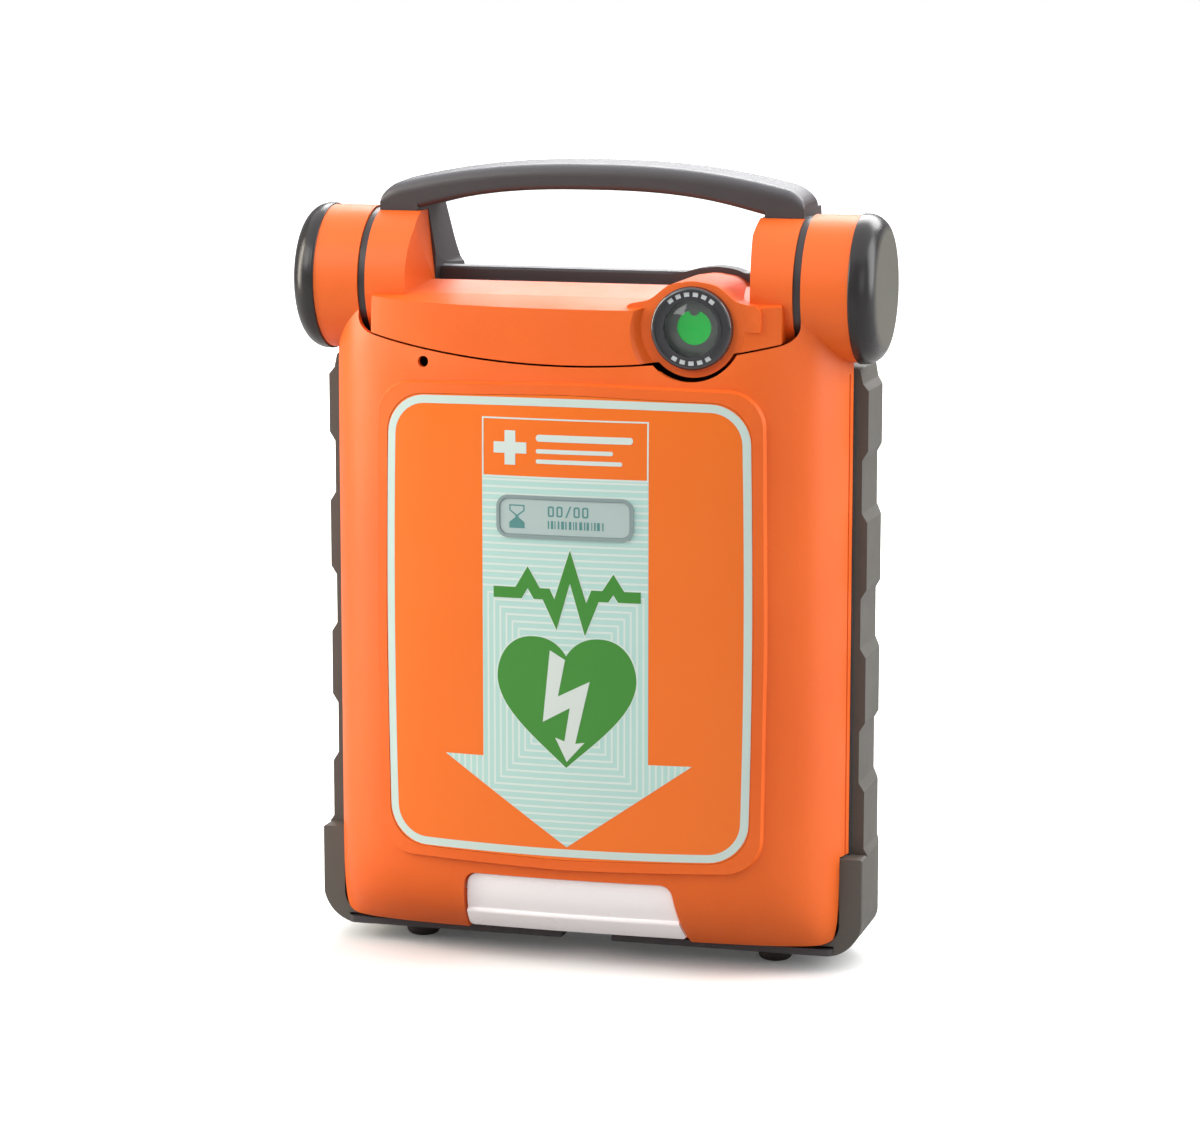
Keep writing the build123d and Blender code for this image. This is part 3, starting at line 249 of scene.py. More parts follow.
# ------------------------------------------------------------------ one-off finishes
def cap_material():
    """Grey rubber cap: glossier rolled rim with painted shade, darker than the disc."""
    axis_z = 0.259                            # height of the cap's centre, m
    rim_start, rim_end = 0.0213, 0.0238       # radii over which the rim takes over, m
    # An empty material holds the plain name, so the caps' own one is numbered.
    bpy.data.materials.new("cap_rubber")
    m = Material("cap_rubber")
    place = m.axes(m.coords)
    dz = m.calc("SUBTRACT", place["Z"], axis_z)
    squares = m.calc("ADD", m.calc("MULTIPLY", place["Y"], place["Y"]),
                     m.calc("MULTIPLY", dz, dz))
    rim = m.remap(m.calc("SQRT", squares), low=rim_start, high=rim_end)
    face = m.mix(m.clouds(scale=22.0, detail=4.0), srgb(92, 90, 83), srgb(98, 95, 88))
    # the rim's darker colour is painted shade for the rim turned away from the light; its lower
    # roughness is real gloss
    m.set(Base_Color=m.mix(rim, face, srgb(46, 44, 45)),
          Roughness=m.mix(rim, grey(0.55), grey(0.24)))
    return rubber_surface(m)


def handle_material():
    """Dark polymer with a painted highlight: paler and cooler where it faces up."""
    m = Material("handle_polymer")
    # painted highlight: faces turned up take a paler, cooler colour as if lit from above
    up = m.remap(m.axes(m.geometry("Normal"))["Z"], low=0.35, high=0.95)
    top = m.mix(m.clouds(scale=14.0, detail=2.0), srgb(84, 84, 90), srgb(90, 90, 96))
    sides = m.mix(m.noise(scale=1400.0, detail=2.0), srgb(60, 55, 57), srgb(66, 60, 62))
    return moulded_surface(m, m.mix(up, sides, top), rough=0.42, grain=1500.0,
                           grain_depth=0.00003, specular=0.6)


def board_material():
    """Green circuit board: a brick pattern of tracks dotted with pale pads."""
    m = Material("circuit_board")
    upright = m.fill(m.node("ShaderNodeMapping"), Vector=m.coords,
                     Rotation=(math.radians(90), 0, 0))
    tracks = m.fill(m.node("ShaderNodeTexBrick"), Vector=upright.outputs["Vector"], Scale=90.0,
                    Mortar_Size=0.03, Color1=srgb(18, 92, 44), Color2=srgb(22, 104, 50),
                    Mortar=srgb(52, 140, 74))
    cells = m.fill(m.node("ShaderNodeTexVoronoi"), Vector=m.coords, Scale=420.0)
    pads = m.remap(cells.outputs["Distance"], low=0.16, high=0.19, start=1.0, end=0.0)
    m.set(Base_Color=m.mix(pads, tracks.outputs["Color"], srgb(176, 160, 96)),
          Roughness=0.32, Coat_Weight=0.3)
    m.bump(tracks.outputs["Fac"], depth=0.00003)
    return m


def screen_material():
    """Grey-green display with a fine square grid."""
    cells_per_metre = 1600.0
    m = Material("screen_glass")
    place = m.axes(m.coords)
    lines = [m.remap(m.calc("FRACT", m.calc("MULTIPLY", place[axis], cells_per_metre)),
                     low=0.85, high=0.9) for axis in ("X", "Z")]
    grid = m.calc("MAXIMUM", *lines)
    m.set(Base_Color=m.mix(grid, srgb(142, 156, 140), srgb(128, 142, 126)),
          Roughness=0.25, Coat_Weight=0.6)
    m.bump(grid, depth=0.00002)
    return m


def label_material():
    """Orange printed film under a clear coat."""
    m = Material("label_film")
    m.set(Base_Color=m.mix(m.clouds(scale=10.0, detail=2.0),
                           srgb(239, 110, 12), srgb(241, 114, 18)),
          Roughness=m.clouds(scale=50.0, detail=4.0, start=0.30, end=0.38),
          Coat_Weight=0.25, Coat_Roughness=0.18)
    m.grain(scale=900.0, depth=0.00001)
    return m


# ------------------------------------------------------------------ finish of each CAD piece
# (material, the pieces that wear it)
FINISHES = [
    (moulded("orange_shell", srgb(233, 103, 31), dark=srgb(229, 97, 28), rough=0.44,
             grain=1900.0, grain_depth=0.00003, wear=0.15, specular=0.38),
     "lid_shell top_cover"),
    (moulded("dark_housing", srgb(62, 59, 63), rough=0.46, grain=1500.0, grain_depth=0.00003,
             mottling=0.04, wear=0.2), "rear_case control_deck"),
    (rubber("bumper_rubber", srgb(80, 77, 72), rough=0.58),
     "side_bumper_left side_bumper_right"),
    (cap_material(), "end_cap_left end_cap_right"),
    (rubber("foot_rubber", srgb(44, 36, 36), rough=0.6), "feet back_pads"),
    (metal("ground_steel", (0.62, 0.63, 0.65, 1), stretch=(1, 8, 8)),
     "hinge_pins latch_catch latch_pin"),
    (moulded("ring_polymer", srgb(58, 54, 56), rough=0.35, grain=1500.0), "hinge_rings"),
    (metal("bronze_bush", (0.62, 0.42, 0.18, 1), rough=0.35), "hinge_bushes"),
    (rubber("seal_rubber", srgb(38, 37, 38), rough=0.7), "case_seal"),
    (metal("zinc_screws", (0.50, 0.51, 0.53, 1), rough=0.3),
     "deck_screws board_screws case_screws handle_screws"),
    (clear("clear_window", (0.93, 0.96, 0.96, 1)), "lcd_window indicator_lens"),
    (clear("reed_glass", (0.80, 0.9, 0.86, 1)), "reed_switch"),
    (moulded("plug_polymer", srgb(205, 207, 204), rough=0.4, grain=1500.0),
     "pads_plug pads_cable"),
    (moulded("socket_polymer", srgb(62, 64, 68), rough=0.45, grain=1500.0),
     "pads_socket tact_switches relay battery_contacts"),
    (glossy("capacitor_sleeve", srgb(22, 40, 92), rough=0.25), "capacitor"),
    (moulded("ferrite_core", srgb(60, 56, 55), rough=0.55, grain=900.0, grain_depth=0.00005),
     "transformer"),
    (metal("blank_plate", (0.70, 0.71, 0.72, 1), rough=0.34, stretch=(1, 1, 14), scale=500.0),
     "rating_plate"),
    (glossy("bezel_gloss", srgb(48, 48, 52), rough=0.12, coat=0.8), "indicator_bezel"),
    (moulded("mask_matt", srgb(118, 124, 120), rough=0.5, grain=1800.0), "indicator_mask"),
    (metal("wound_coil", (0.55, 0.24, 0.11, 1), rough=0.35, stretch=(1, 40, 1), scale=60.0),
     "indicator_coil"),
    # the flag's green emission is a painted glow for light reflected off it; the flag is no lamp
    (moulded("flag_green", srgb(12, 206, 72), rough=0.35, grain=1800.0, mottling=0.08)
     .set(Emission_Color=(0.01, 0.55, 0.07, 1), Emission_Strength=0.35), "indicator_flag"),
    (moulded("liner_grey", srgb(112, 114, 118), rough=0.5, grain=1300.0), "lid_liner"),
    # the latch's faint white emission is a painted glow that makes it brighter than its lighting;
    # the latch is no lamp
    (moulded("latch_silver", srgb(248, 243, 244), rough=0.3, grain=2200.0,
             grain_depth=0.000012, mottling=0.015)
     .set(Emission_Color=(1, 0.96, 0.95, 1), Emission_Strength=0.12), "latch_handle"),
    (glossy("shock_button", srgb(240, 96, 24), rough=0.16, coat=0.6), "shock_button"),
    (glossy("language_button", srgb(44, 92, 168), rough=0.2, coat=0.4), "language_button"),
    (moulded("battery_case", srgb(74, 72, 74), rough=0.5, grain=1100.0, grain_depth=0.00004,
             wear=0.2), "battery_pack"),
    (moulded("battery_release", srgb(236, 100, 42), rough=0.45, grain=1600.0),
     "battery_latch"),
    (metal("nickel_magnet", (0.75, 0.74, 0.72, 1), rough=0.16), "lid_magnet"),
    (moulded("date_frame", srgb(140, 158, 158), rough=0.35, grain=1800.0), "date_window"),
    (moulded("speaker_cone", srgb(40, 40, 42), rough=0.6, grain=900.0), "speaker"),
    (handle_material(), "carry_handle"),
    (board_material(), "main_board"),
    (screen_material(), "lcd_display"),
    (label_material(), "graphic_panel"),
    (moulded("pad_foam", srgb(222, 226, 230), rough=0.6, grain=700.0, grain_depth=0.00005),
     "electrode_pads"),
    (metal("cell_can", (0.60, 0.61, 0.63, 1), stretch=(1, 1, 6)), "battery_cells"),
]
FOIL = metal("pouch_foil", (0.78, 0.80, 0.82, 1), rough=0.34, scale=240.0)
FINISHES.append((FOIL, "pads_pouch"))

finish_of = {piece: material for material, pieces in FINISHES for piece in pieces.split()}
for name in nodes:
    mesh = nodes[name].data
    mesh.materials.clear()
    mesh.materials.append(finish_of[name].block)
    for face in mesh.polygons:
        face.material_index = 0
        face.use_smooth = True


# ------------------------------------------------------------------ thin shapes laid on the front
CUT_X, CUT_Z = 2.5, 8.0      # spacing of the cuts that let a decal bend, mm
DECAL_THICK = 0.16           # mm
RAY_START_Y = -0.2           # in front of every piece, m

trees = {}


def surface_y(piece, x, z):
    """Front surface of a CAD piece at (x, z), or None beside it."""
    if piece not in trees:
        mesh = nodes[piece].data
        trees[piece] = BVHTree.FromPolygons([v.co.copy() for v in mesh.vertices],
                                            [list(p.vertices) for p in mesh.polygons])
    hit = trees[piece].ray_cast(Vector((x, RAY_START_Y, z)), Vector((0, 1, 0)))
    return None if hit[0] is None else hit[0].y


def decal(name, loops, material, lift, onto="graphic_panel", body="lid"):
    """Drape outline loops over a CAD piece, lifted in mm, and close them behind."""
    loops = [[Vector((x, z, 0)) for x, z in loop] for loop in loops]
    points = [point for loop in loops for point in loop]
    bm = bmesh.new()
    verts = [bm.verts.new(point) for point in points]
    for triangle in geometry.tessellate_polygon(loops):
        # guards against a triangle that repeats another or has a repeated corner
        try:
            bm.faces.new([verts[i] for i in triangle])
        except ValueError:
            pass
    for axis, spacing, normal in ((0, CUT_X, Vector((1, 0, 0))), (1, CUT_Z, Vector((0, 1, 0)))):
        places = [point[axis] for point in points]
        first = math.floor(min(places) / spacing)
        last = math.ceil(max(places) / spacing)
        for k in range(first, last + 1):
            bmesh.ops.bisect_plane(bm, geom=bm.verts[:] + bm.edges[:] + bm.faces[:],
                                   plane_co=normal * (k * spacing), plane_no=normal)
    bmesh.ops.triangulate(bm, faces=bm.faces[:])
    bmesh.ops.recalc_face_normals(bm, faces=bm.faces[:])

    # Points beside the piece take the depth of the nearest point on it.
    flat = [(v.co.x / 1000, v.co.y / 1000) for v in bm.verts]
    depths = [surface_y(onto, x, z) for x, z in flat]
    known = [(x, z, y) for (x, z), y in zip(flat, depths) if y is not None]
    for vert, (x, z), y in zip(bm.verts, flat, depths):
        if y is None:
            y = min(known, key=lambda p: (p[0] - x) ** 2 + (p[1] - z) ** 2)[2]
        vert.co = (x, y - lift / 1000, z)
    bm.normal_update()
    if sum(face.normal.y for face in bm.faces) > 0:
        bmesh.ops.reverse_faces(bm, faces=bm.faces[:])

    # The extruded copy stays in front; the first sheet moves back into the piece.
    extruded = bmesh.ops.extrude_face_region(bm, geom=bm.faces[:])["geom"]
    front = {item for item in extruded if isinstance(item, bmesh.types.BMVert)}
    for vert in bm.verts:
        if vert not in front:
            vert.co.y += DECAL_THICK / 1000
    bmesh.ops.recalc_face_normals(bm, faces=bm.faces[:])
    mesh = bpy.data.meshes.new(name)
    bm.to_mesh(mesh)
    bm.free()
    obj = bpy.data.objects.new(name, mesh)
    scene.collection.objects.link(obj)
    mesh.materials.append(material.block)
    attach(obj, body)


# ------------------------------------------------------------------ outline shapes, mm
def arc(x, z, r, start, sweep, steps):
    angles = [math.radians(start + sweep * i / steps) for i in range(steps + 1)]
    return [(x + r * math.cos(a), z + r * math.sin(a)) for a in angles]


def rect(x0, x1, z0, z1):
    return [(x0, z0), (x1, z0), (x1, z1), (x0, z1)]


def rounded_rect(x0, x1, z0, z1, r, steps=6):
    corners = ((x1 - r, z1 - r, 0), (x0 + r, z1 - r, 90),
               (x0 + r, z0 + r, 180), (x1 - r, z0 + r, 270))
    return [p for x, z, start in corners for p in arc(x, z, r, start, 90, steps)]


def bezier(p0, p1, p2, p3, steps=18):
    """Points along a cubic curve, without its end point."""
    points = []
    for i in range(steps):
        t = i / steps
        a, b, c, d = (1 - t) ** 3, 3 * t * (1 - t) ** 2, 3 * t * t * (1 - t), t ** 3
        points.append(tuple(a * p0[k] + b * p1[k] + c * p2[k] + d * p3[k] for k in (0, 1)))
    return points


def stroke(path, width):
    """Mitred outline of an open path."""
    path = [Vector(point) for point in path]
    mitre_floor = 0.34       # keeps sharp corners from shooting out
    normals = []
    for a, b in zip(path, path[1:]):
        along = (b - a).normalized()
        normals.append(Vector((-along.y, along.x)))
    lefts, rights = [], []
    for i, point in enumerate(path):
        beside = normals[max(0, i - 1):i + 1]
        mitre = beside[0] if len(beside) == 1 else (beside[0] + beside[1]).normalized()
        reach = width / 2 / max(mitre_floor, mitre.dot(beside[0]))
        lefts.append(tuple(point + mitre * reach))
        rights.append(tuple(point - mitre * reach))
    return lefts + rights[::-1]


# ------------------------------------------------------------------ printed panel, mm
CENTRE_X = 0.6                              # centre of the printed layout
PANEL_HALF_WIDTH = 71.2
PANEL_BOTTOM, PANEL_TOP = 46.0, 220.3
PANEL_CORNER = 15.0
PANEL_BULGE_X, PANEL_BULGE_Z = 1.2, 0.95    # outward bow of the sides and of top and bottom
BORDER_OUTER, BORDER_INNER = 0.55, 3.55     # insets of the border line from the panel edge
ARROW_LEFT, ARROW_RIGHT = -31.6, 32.4
ARROW_TOP, ARROW_HEAD = 189.8, 83.6
HEART_X = CENTRE_X + 0.5
HEART_Z = 107.0                             # the heart grows about this height
HEART_REACH = 26.0                          # half width that sets its growth
# Left half of the heart, from the notch round to the tip: four control points per curve
HEART_CURVES = [
    ((0, 123.4), (-3.6, 129.4), (-9.0, 130.6), (-13.4, 130.4)),
    ((-13.4, 130.4), (-22.0, 130.2), (-27.0, 122.6), (-26.9, 114.4)),
    ((-26.9, 114.4), (-26.4, 102.0), (-11.0, 91.0), (0, 80.9)),
]
BOLT = [(-5.2, 125.4), (0.7, 122.0), (-2.1, 108.0), (10.2, 114.2), (4.6, 90.3), (8.2, 90.9),
        (1.3, 83.2), (-3.2, 92.3), (0.4, 91.0), (2.5, 103.8), (-8.0, 98.0)]
PULSE = [(-27.2, 146.6), (-17.4, 146.6), (-13.8, 152.6), (-10.2, 146.6), (-6.6, 146.6),
         (-3.0, 139.0), (2.6, 157.2), (8.6, 137.6), (12.2, 146.6), (16.2, 146.6),
         (19.2, 151.2), (22.2, 146.6), (29.6, 146.6)]
BAR_LEFT = -10.5
BARS = [(26.5, 203.6, 2.6), (19.0, 199.2, 1.6), (22.5, 195.4, 1.6)]    # right, bottom, height


def arrow_material():
    """Pale ground with thin nested lines that frame the middle of the arrow."""
    middle_z, z_squash, z_inset = 0.1085, 0.9, 0.004    # m, ratio, m
    pitch = 0.0024                                      # between lines, m
    ground = srgb(176, 212, 205)
    m = Material("print_arrow")
    place = m.axes(m.coords)
    across = m.calc("ABSOLUTE", m.calc("SUBTRACT", place["X"], CENTRE_X / 1000))
    height = m.calc("ABSOLUTE", m.calc("SUBTRACT", place["Z"], middle_z))
    height = m.calc("SUBTRACT", m.calc("MULTIPLY", height, z_squash), z_inset)
    nested = m.calc("MAXIMUM", across, height)
    phase = m.calc("FRACT", m.calc("MULTIPLY", nested, 1 / pitch))
    wave = m.calc("ABSOLUTE", m.calc("SUBTRACT", phase, 0.5))
    stripe = m.remap(wave, low=0.12, high=0.17, start=1.0, end=0.0)
    base = m.mix(m.clouds(scale=12.0, detail=2.0), ground, tint(ground, 1.04))
    m.set(Base_Color=m.mix(stripe, base, srgb(212, 224, 218)), Roughness=0.34,
          Coat_Weight=0.25, Coat_Roughness=0.15)
    m.bump(stripe, depth=0.000012, strength=0.6)
    return m


def panel_outline(inset):
    """Rounded panel outline in short steps, with its sides bowed outward."""
    longest_step = 6
    half_x = PANEL_HALF_WIDTH - PANEL_BULGE_X - inset
    half_z = (PANEL_TOP - PANEL_BOTTOM) / 2 - PANEL_BULGE_Z - inset
    centre_z = (PANEL_BOTTOM + PANEL_TOP) / 2
    coarse = rounded_rect(-half_x, half_x, -half_z, half_z, PANEL_CORNER - inset, steps=10)
    points = []
    for (x0, z0), (x1, z1) in zip(coarse, coarse[1:] + coarse[:1]):
        pieces = max(1, int(math.hypot(x1 - x0, z1 - z0) / longest_step))
        for k in range(pieces):
            x, z = x0 + (x1 - x0) * (k / pieces), z0 + (z1 - z0) * (k / pieces)
            bow_x = math.copysign(1, x) * PANEL_BULGE_X * (1 - (z / half_z) ** 2)
            bow_z = math.copysign(1, z) * PANEL_BULGE_Z * (1 - (x / half_x) ** 2)
            points.append((x + bow_x, centre_z + z + bow_z))
    return points


def heart(grow=0.0):
    size = 1 + grow / HEART_REACH

    def grown(x, z):
        return (HEART_X + x * size, HEART_Z + (z - HEART_Z) * size)
    left = [p for curve in HEART_CURVES for p in bezier(*[grown(*point) for point in curve])]
    right = [(2 * HEART_X - x, z) for x, z in reversed(left[1:])]
    return left + [grown(*HEART_CURVES[-1][-1])] + right


def cross(x, z, reach, half):
    """Upright cross with arms of the given reach and half thickness."""
    return [(x - half, z + reach), (x - half, z + half), (x - reach, z + half),
            (x - reach, z - half), (x - half, z - half), (x - half, z - reach),
            (x + half, z - reach), (x + half, z - half), (x + reach, z - half),
            (x + reach, z + half), (x + half, z + half), (x + half, z + reach)]


ARROW_INK = arrow_material()
PALE = printed("print_pale", srgb(206, 220, 215))
BORDER = printed("print_border", srgb(196, 214, 208))
GREEN = printed("print_green", srgb(58, 134, 44))
BOLT_INK = printed("print_bolt", srgb(206, 216, 211))
TEAL = printed("print_teal", srgb(82, 136, 134))
WINDOW_INK = printed("print_window", srgb(172, 190, 188), rough=0.22, coat=0.6)
TICK_INK = printed("print_tick", srgb(196, 202, 204))

decal("print_border", [panel_outline(BORDER_OUTER), panel_outline(BORDER_INNER)[::-1]], BORDER,
      lift=0.05)
arrow = [(ARROW_LEFT, ARROW_TOP), (ARROW_RIGHT, ARROW_TOP), (ARROW_RIGHT, ARROW_HEAD),
         (48.9, ARROW_HEAD), (CENTRE_X + 0.6, 50.4), (-46.8, ARROW_HEAD),
         (ARROW_LEFT, ARROW_HEAD)]
decal("print_arrow", [arrow], ARROW_INK, lift=0.05)
decal("print_box", [rect(ARROW_LEFT, ARROW_RIGHT, ARROW_TOP, 212.2),
                    rect(-31.0, 31.8, 190.5, 211.6)[::-1]], PALE, lift=0.07)
decal("print_cross", [cross(-20.6, 201.0, reach=6.4, half=2.1)], PALE, lift=0.07)
for i, (right, bottom, height) in enumerate(BARS):
    bar = rounded_rect(BAR_LEFT, right, bottom, bottom + height, height * 0.45, steps=4)
    decal("print_bar_%d" % i, [bar], PALE, lift=0.07)
decal("print_heart_line", [heart(grow=0.45), heart()[::-1]], PALE, lift=0.09)
decal("print_heart", [heart()], GREEN, lift=0.10)
decal("print_bolt", [BOLT], BOLT_INK, lift=0.16)
decal("print_pulse_line", [stroke(PULSE, width=5.0)], PALE, lift=0.08)
decal("print_pulse", [stroke(PULSE, width=4.2)], GREEN, lift=0.14)

# ------------------------------------------------------------------ date window, mm
PLATE_INSET = 1.5
DIGIT_WIDTH, DIGIT_HEIGHT, DIGIT_LINE = 2.4, 4.0, 0.62
DIGIT_PITCH = 3.3
DIGIT_PLACES = (0, 1, 3, 4)                 # the slash stands in place 2
BAR_WIDTHS = (0.5, 0.9, 0.35, 0.6, 1.1)
BAR_GAPS = (0.7, 0.5, 0.9)
BARCODE_WIDTH = 22
# Sand-glass about its centre: outline, then the opening in its upper half
GLASS = [(-3, 4.4), (3, 4.4), (3, 2.2), (0.6, 0.3), (0.6, -0.3), (3, -2.2),
         (3, -4.4), (-3, -4.4), (-3, -2.2), (-0.6, -0.3), (-0.6, 0.3), (-3, 2.2)]
GLASS_HOLE = [(-2.5, 3.9), (2.5, 3.9), (2.5, 2.4), (0.0, 0.6), (-2.5, 2.4)]

window_low, window_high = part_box("date_window")
window_x0, window_x1 = window_low.x * 1000, window_high.x * 1000
window_z0, window_z1 = window_low.z * 1000, window_high.z * 1000
middle_z = (window_z0 + window_z1) / 2
glass_x = window_x0 + 8.0
text_x = glass_x + 12.0


def window_decal(name, loops, material=TEAL, lift=0.09):
    decal(name, loops, material, lift, onto="date_window")


def shifted(points, dx, dz):
    return [(dx + x, dz + z) for x, z in points]


def zero(x, z):
    """Plain digit: a rounded frame."""
    x1, z1, line = x + DIGIT_WIDTH, z + DIGIT_HEIGHT, DIGIT_LINE
    return [rounded_rect(x, x1, z, z1, 0.7, steps=3),
            rounded_rect(x + line, x1 - line, z + line, z1 - line, 0.3, steps=3)[::-1]]


plate = rounded_rect(window_x0 + PLATE_INSET, window_x1 - PLATE_INSET,
                     window_z0 + PLATE_INSET, window_z1 - PLATE_INSET, 3.0)
window_decal("window_plate", [plate], WINDOW_INK, lift=0.05)
window_decal("window_glass", [shifted(GLASS, glass_x, middle_z),
                              shifted(GLASS_HOLE, glass_x, middle_z)[::-1]])
for i, k in enumerate(DIGIT_PLACES):
    window_decal("window_digit_%d" % i, zero(text_x + DIGIT_PITCH * k, middle_z + 0.3))
slash = [(6.7, 0.2), (7.3, 0.2), (9.1, 4.5), (8.5, 4.5)]
window_decal("window_slash", [shifted(slash, text_x, middle_z)])
x = text_x
k = 0
while x < text_x + BARCODE_WIDTH:
    width = BAR_WIDTHS[k % len(BAR_WIDTHS)]
    window_decal("window_bar_%d" % k, [rect(x, x + width, middle_z - 4.2, middle_z - 1.2)])
    x += width + BAR_GAPS[k % len(BAR_GAPS)]
    k += 1

# ------------------------------------------------------------------ arc marks on the bezel, mm
INDICATOR_X, INDICATOR_Z = 46.5, 246.2
MARK_INNER, MARK_OUTER = 11.9, 13.5          # radii
MARK_PITCH, MARK_SWEEP = 15, 9               # degrees

for row, count, first in (("top", 6, 48), ("low", 5, 236)):
    for i in range(count):
        outer, inner = [arc(INDICATOR_X, INDICATOR_Z, r, first + MARK_PITCH * i, MARK_SWEEP, 6)
                        for r in (MARK_OUTER, MARK_INNER)]
        decal("ring_mark_%s_%d" % (row, i), [outer + inner[::-1]], TICK_INK, lift=0.05,
              onto="indicator_bezel", body="case")

# ------------------------------------------------------------------ foil pouch, m
POUCH_LOW, POUCH_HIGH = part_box("pads_pouch")
POUCH_X, POUCH_Z = (POUCH_LOW.x + POUCH_HIGH.x) / 2, (POUCH_LOW.z + POUCH_HIGH.z) / 2
POUCH_HALF_X = (POUCH_HIGH.x - POUCH_LOW.x) / 2 - 0.0004
POUCH_HALF_Z = (POUCH_HIGH.z - POUCH_LOW.z) / 2 - 0.0004
SEAM_Y = POUCH_HIGH.y - 0.0085
SEAL = 0.0065                # width of the flat crimped margin
SEAL_HALF_THICK = 0.00022
CRIMP_HEIGHT, CRIMP_PITCH = 0.00012, 0.0018
CROWN_FRONT = SEAM_Y - POUCH_LOW.y - 0.0016
CROWN_BACK = POUCH_HIGH.y - SEAM_Y - 0.0006
COLUMNS, ROWS = 44, 52
BLOW_FRAMES = 20
MOST_TRAVEL = 0.0022         # furthest a point may move when blown up


def crown(share):
    return max(0.0, 1 - min(share, 1.0) ** 4) ** 0.6


def pouch_mesh():
    """Two foil sheets welded along the margin and crowned between; also the pinned points."""
    phase = np.random.default_rng(7).uniform(0, 6.28, 12)
    bm = bmesh.new()
    pinned = []
    grid = {}
    for side in (0, 1):      # front sheet, back sheet
        for i in range(COLUMNS + 1):
            for j in range(ROWS + 1):
                if side and (i in (0, COLUMNS) or j in (0, ROWS)):
                    grid[(1, i, j)] = grid[(0, i, j)]
                    continue
                u, w = i / COLUMNS * 2 - 1, j / ROWS * 2 - 1
                x, z = u * POUCH_HALF_X, w * POUCH_HALF_Z
                # draw the corners in a little
                if abs(u) > 0.93 and abs(w) > 0.95:
                    x, z = x * 0.992, z * 0.994
                share_x, share_z = abs(x) / (POUCH_HALF_X - SEAL), abs(z) / (POUCH_HALF_Z - SEAL)
                body = crown(share_x) * crown(share_z)
                along = x if share_z > share_x else z     # runs along the nearer edge
                ripple = crimp = 0.0
                if body > 0:
                    waves = math.sin(95 * along * 3 + phase[0]) + math.sin(210 * along + phase[1])
                    ripple = 0.0007 * max(0.0, max(share_x, share_z) - 0.55) * waves
                else:
                    crimp = CRIMP_HEIGHT * math.sin(2 * math.pi * along / CRIMP_PITCH)
                if side:
                    y = SEAM_Y + (SEAL_HALF_THICK + body * CROWN_BACK) + crimp
                else:
                    y = SEAM_Y - (SEAL_HALF_THICK + body * CROWN_FRONT) + ripple + crimp
                grid[(side, i, j)] = bm.verts.new((POUCH_X + x, y, POUCH_Z + z))
                if body < 0.02:
                    pinned.append(len(bm.verts) - 1)
    for side in (0, 1):
        for i in range(COLUMNS):
            for j in range(ROWS):
                quad = [grid[(side, i, j)], grid[(side, i + 1, j)],
                        grid[(side, i + 1, j + 1)], grid[(side, i, j + 1)]]
                bm.faces.new(quad[::-1] if side else quad)
    bmesh.ops.recalc_face_normals(bm, faces=bm.faces[:])
    mesh = bpy.data.meshes.new("foil_pouch")
    bm.to_mesh(mesh)
    bm.free()
    return mesh, pinned


def blow_up(pouch):
    """Run the pouch as pressurised cloth and return the blown mesh."""
    cloth = pouch.modifiers.new("blow", "CLOTH")
    settings = cloth.settings
    settings.quality = 5
    settings.mass = 0.15
    settings.tension_stiffness = 25
    settings.compression_stiffness = 25
    settings.bending_stiffness = 0.6
    settings.use_pressure = True
    settings.uniform_pressure_force = 4.0
    settings.vertex_group_mass = "seal"
    settings.effector_weights.gravity = 0.0
    cloth.point_cache.frame_start = START_FRAME
    cloth.point_cache.frame_end = BLOW_FRAMES
    for step in range(START_FRAME, BLOW_FRAMES + 1):
        scene.frame_set(step)
    graph = bpy.context.evaluated_depsgraph_get()
    blown = bpy.data.meshes.new_from_object(pouch.evaluated_get(graph))
    pouch.modifiers.remove(cloth)
    scene.frame_set(START_FRAME)
    return blown


def make_pouch():
    mesh, pinned = pouch_mesh()
    pouch = bpy.data.objects.new("foil_pouch", mesh)
    scene.collection.objects.link(pouch)
    pouch.vertex_groups.new(name="seal").add(pinned, 1.0, "REPLACE")
    start = [v.co.copy() for v in mesh.vertices]
    blown = blow_up(pouch)
    for vert, rest, soft in zip(mesh.vertices, start, blown.vertices):
        travel = soft.co - rest
        if travel.length > MOST_TRAVEL:
            travel = travel.normalized() * MOST_TRAVEL
        # keep inside the box of the CAD pouch
        vert.co = [min(max(value, low), high)
                   for value, low, high in zip(rest + travel, POUCH_LOW, POUCH_HIGH)]
    bpy.data.meshes.remove(blown)
    smooth = pouch.modifiers.new("smooth", "SUBSURF")
    smooth.levels = smooth.render_levels = 1
    for face in mesh.polygons:
        face.use_smooth = True
    mesh.materials.append(FOIL.block)
    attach(pouch, "case")
    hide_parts("pads_pouch")


make_pouch()


# ------------------------------------------------------------------ camera and lights
def aimed(name, data, location, target):
    obj = bpy.data.objects.new(name, data)
    scene.collection.objects.link(obj)
    obj.location = location
    toward = Vector(target) - Vector(location)
    obj.rotation_euler = toward.to_track_quat("-Z", "Y").to_euler()
    return obj


def area(name, location, target, size, power, colour=(1, 1, 1)):
    """Rectangular light; size is (width, height) in metres, power in watts."""
    data = bpy.data.lights.new(name, "AREA")
    data.shape = "RECTANGLE"
    data.size, data.size_y = size
    data.energy = power
    data.color = colour
    aimed(name, data, location, target)


lens = bpy.data.cameras.new("camera")
lens.lens = 115.65
lens.sensor_width = 36.0
lens.clip_start = 0.05
lens.clip_end = 40
scene.camera = aimed("camera", lens, location=(0.3886, -1.3982, 0.3976),
                     target=(0.0021, 0, 0.150))

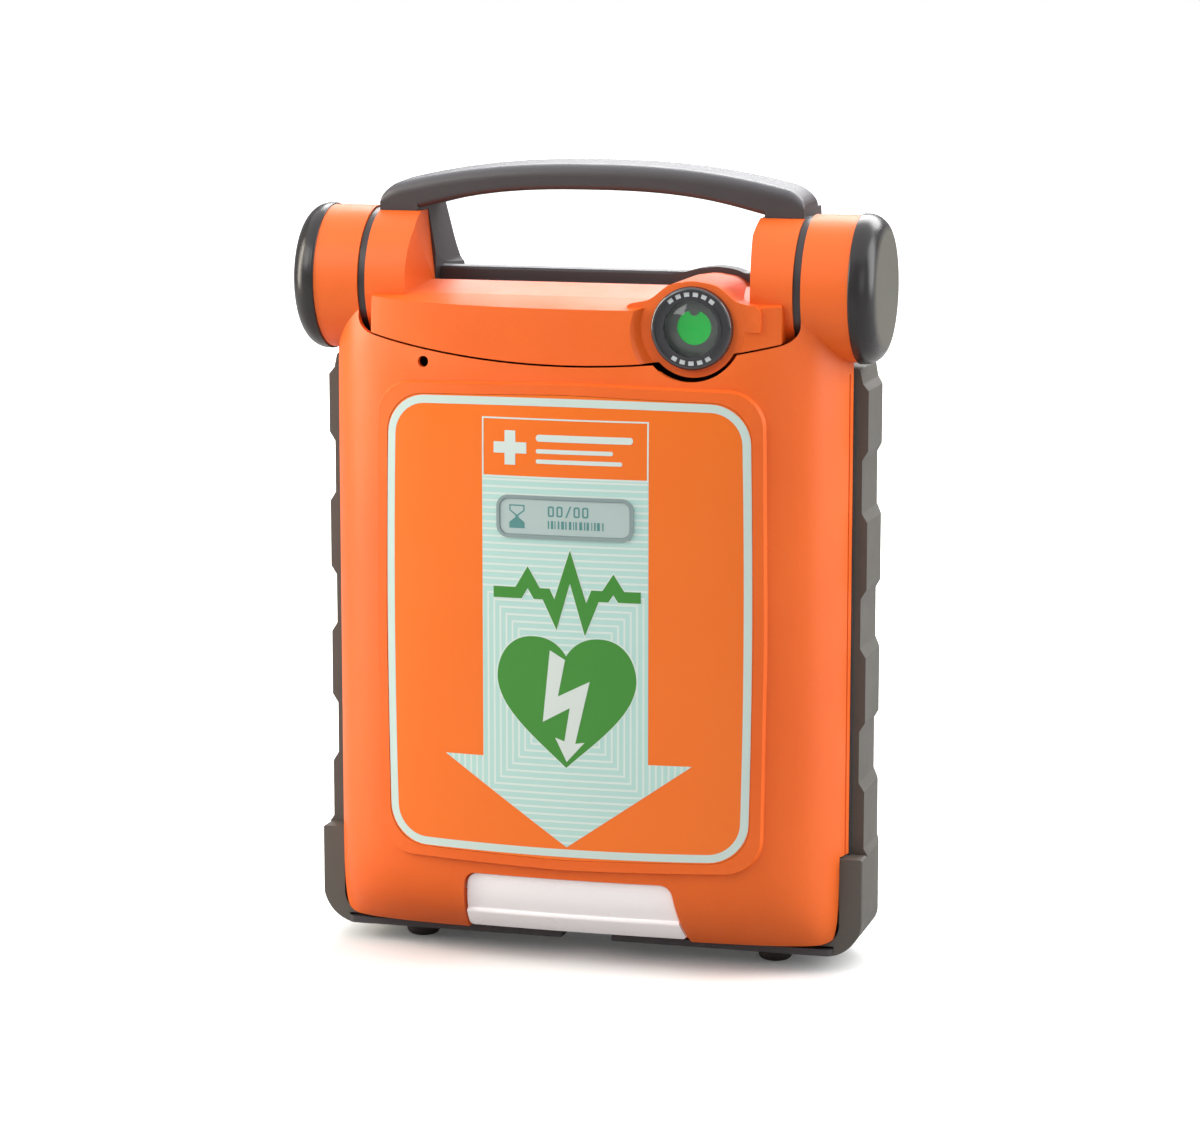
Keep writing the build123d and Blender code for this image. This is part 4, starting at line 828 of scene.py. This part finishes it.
area("key", (-1.3, -1.6, 1.35), (0, 0, 0.16), size=(1.1, 1.1), power=19)
area("left", (-1.7, -0.45, 0.6), (-0.1, 0, 0.16), size=(0.6, 1.5), power=34,
     colour=(1.0, 0.93, 0.80))
area("fill", (1.5, -1.6, 0.8), (0, 0, 0.15), size=(1.0, 1.2), power=5)
area("side", (1.5, 0.25, 0.8), (0.1, 0, 0.15), size=(0.9, 1.4), power=24)
area("back", (0.1, 1.4, 1.3), (0, 0, 0.25), size=(1.8, 0.8), power=34)
area("overhead", (0, 0.4, 3.6), (0, 0.4, 0), size=(7.0, 7.0), power=150)


# ------------------------------------------------------------------ surroundings and floor
def make_world():
    """White for the camera, a softer dome for the light."""
    world = bpy.data.worlds.new("world")
    scene.world = world
    world.use_nodes = True
    tree = world.node_tree
    tree.nodes.clear()
    output = tree.nodes.new("ShaderNodeOutputWorld")
    background = tree.nodes.new("ShaderNodeBackground")
    background.inputs["Color"].default_value = (1, 1, 1, 1)
    path = tree.nodes.new("ShaderNodeLightPath")
    strength = tree.nodes.new("ShaderNodeMapRange")
    strength.inputs["To Min"].default_value = 0.30
    strength.inputs["To Max"].default_value = 1.0
    tree.links.new(path.outputs["Is Camera Ray"], strength.inputs["Value"])
    tree.links.new(strength.outputs["Result"], background.inputs["Strength"])
    tree.links.new(background.outputs[0], output.inputs[0])


def floor_material():
    """Pale and glowing with distance to the camera, mid grey to all other rays."""
    m = Material("floor_pale")
    seen = m.node("ShaderNodeLightPath").outputs["Is Camera Ray"]
    pale = m.mix(m.noise(scale=3.0, detail=2.0), grey(0.93), grey(0.95))
    distance = m.node("ShaderNodeVectorMath", operation="LENGTH")
    m.feed(m.coords, distance.inputs[0])
    fade = m.remap(distance.outputs["Value"], low=0.35, high=2.2, start=0.05, end=1.0)
    return m.set(Base_Color=m.mix(seen, grey(0.36), pale), Roughness=0.7,
                 Specular_IOR_Level=0.2, Emission_Color=(1, 1, 1, 1),
                 Emission_Strength=m.calc("MULTIPLY", fade, seen))


def make_floor():
    half, z = 6, -0.0004     # just below the feet
    mesh = bpy.data.meshes.new("floor")
    mesh.from_pydata([(x, y, z) for x, y in rect(-half, half, -half, half)], [], [(0, 1, 2, 3)])
    floor = bpy.data.objects.new("floor", mesh)
    scene.collection.objects.link(floor)
    mesh.materials.append(floor_material().block)


make_world()
scene.view_settings.view_transform = "Standard"
scene.view_settings.look = "None"
make_floor()
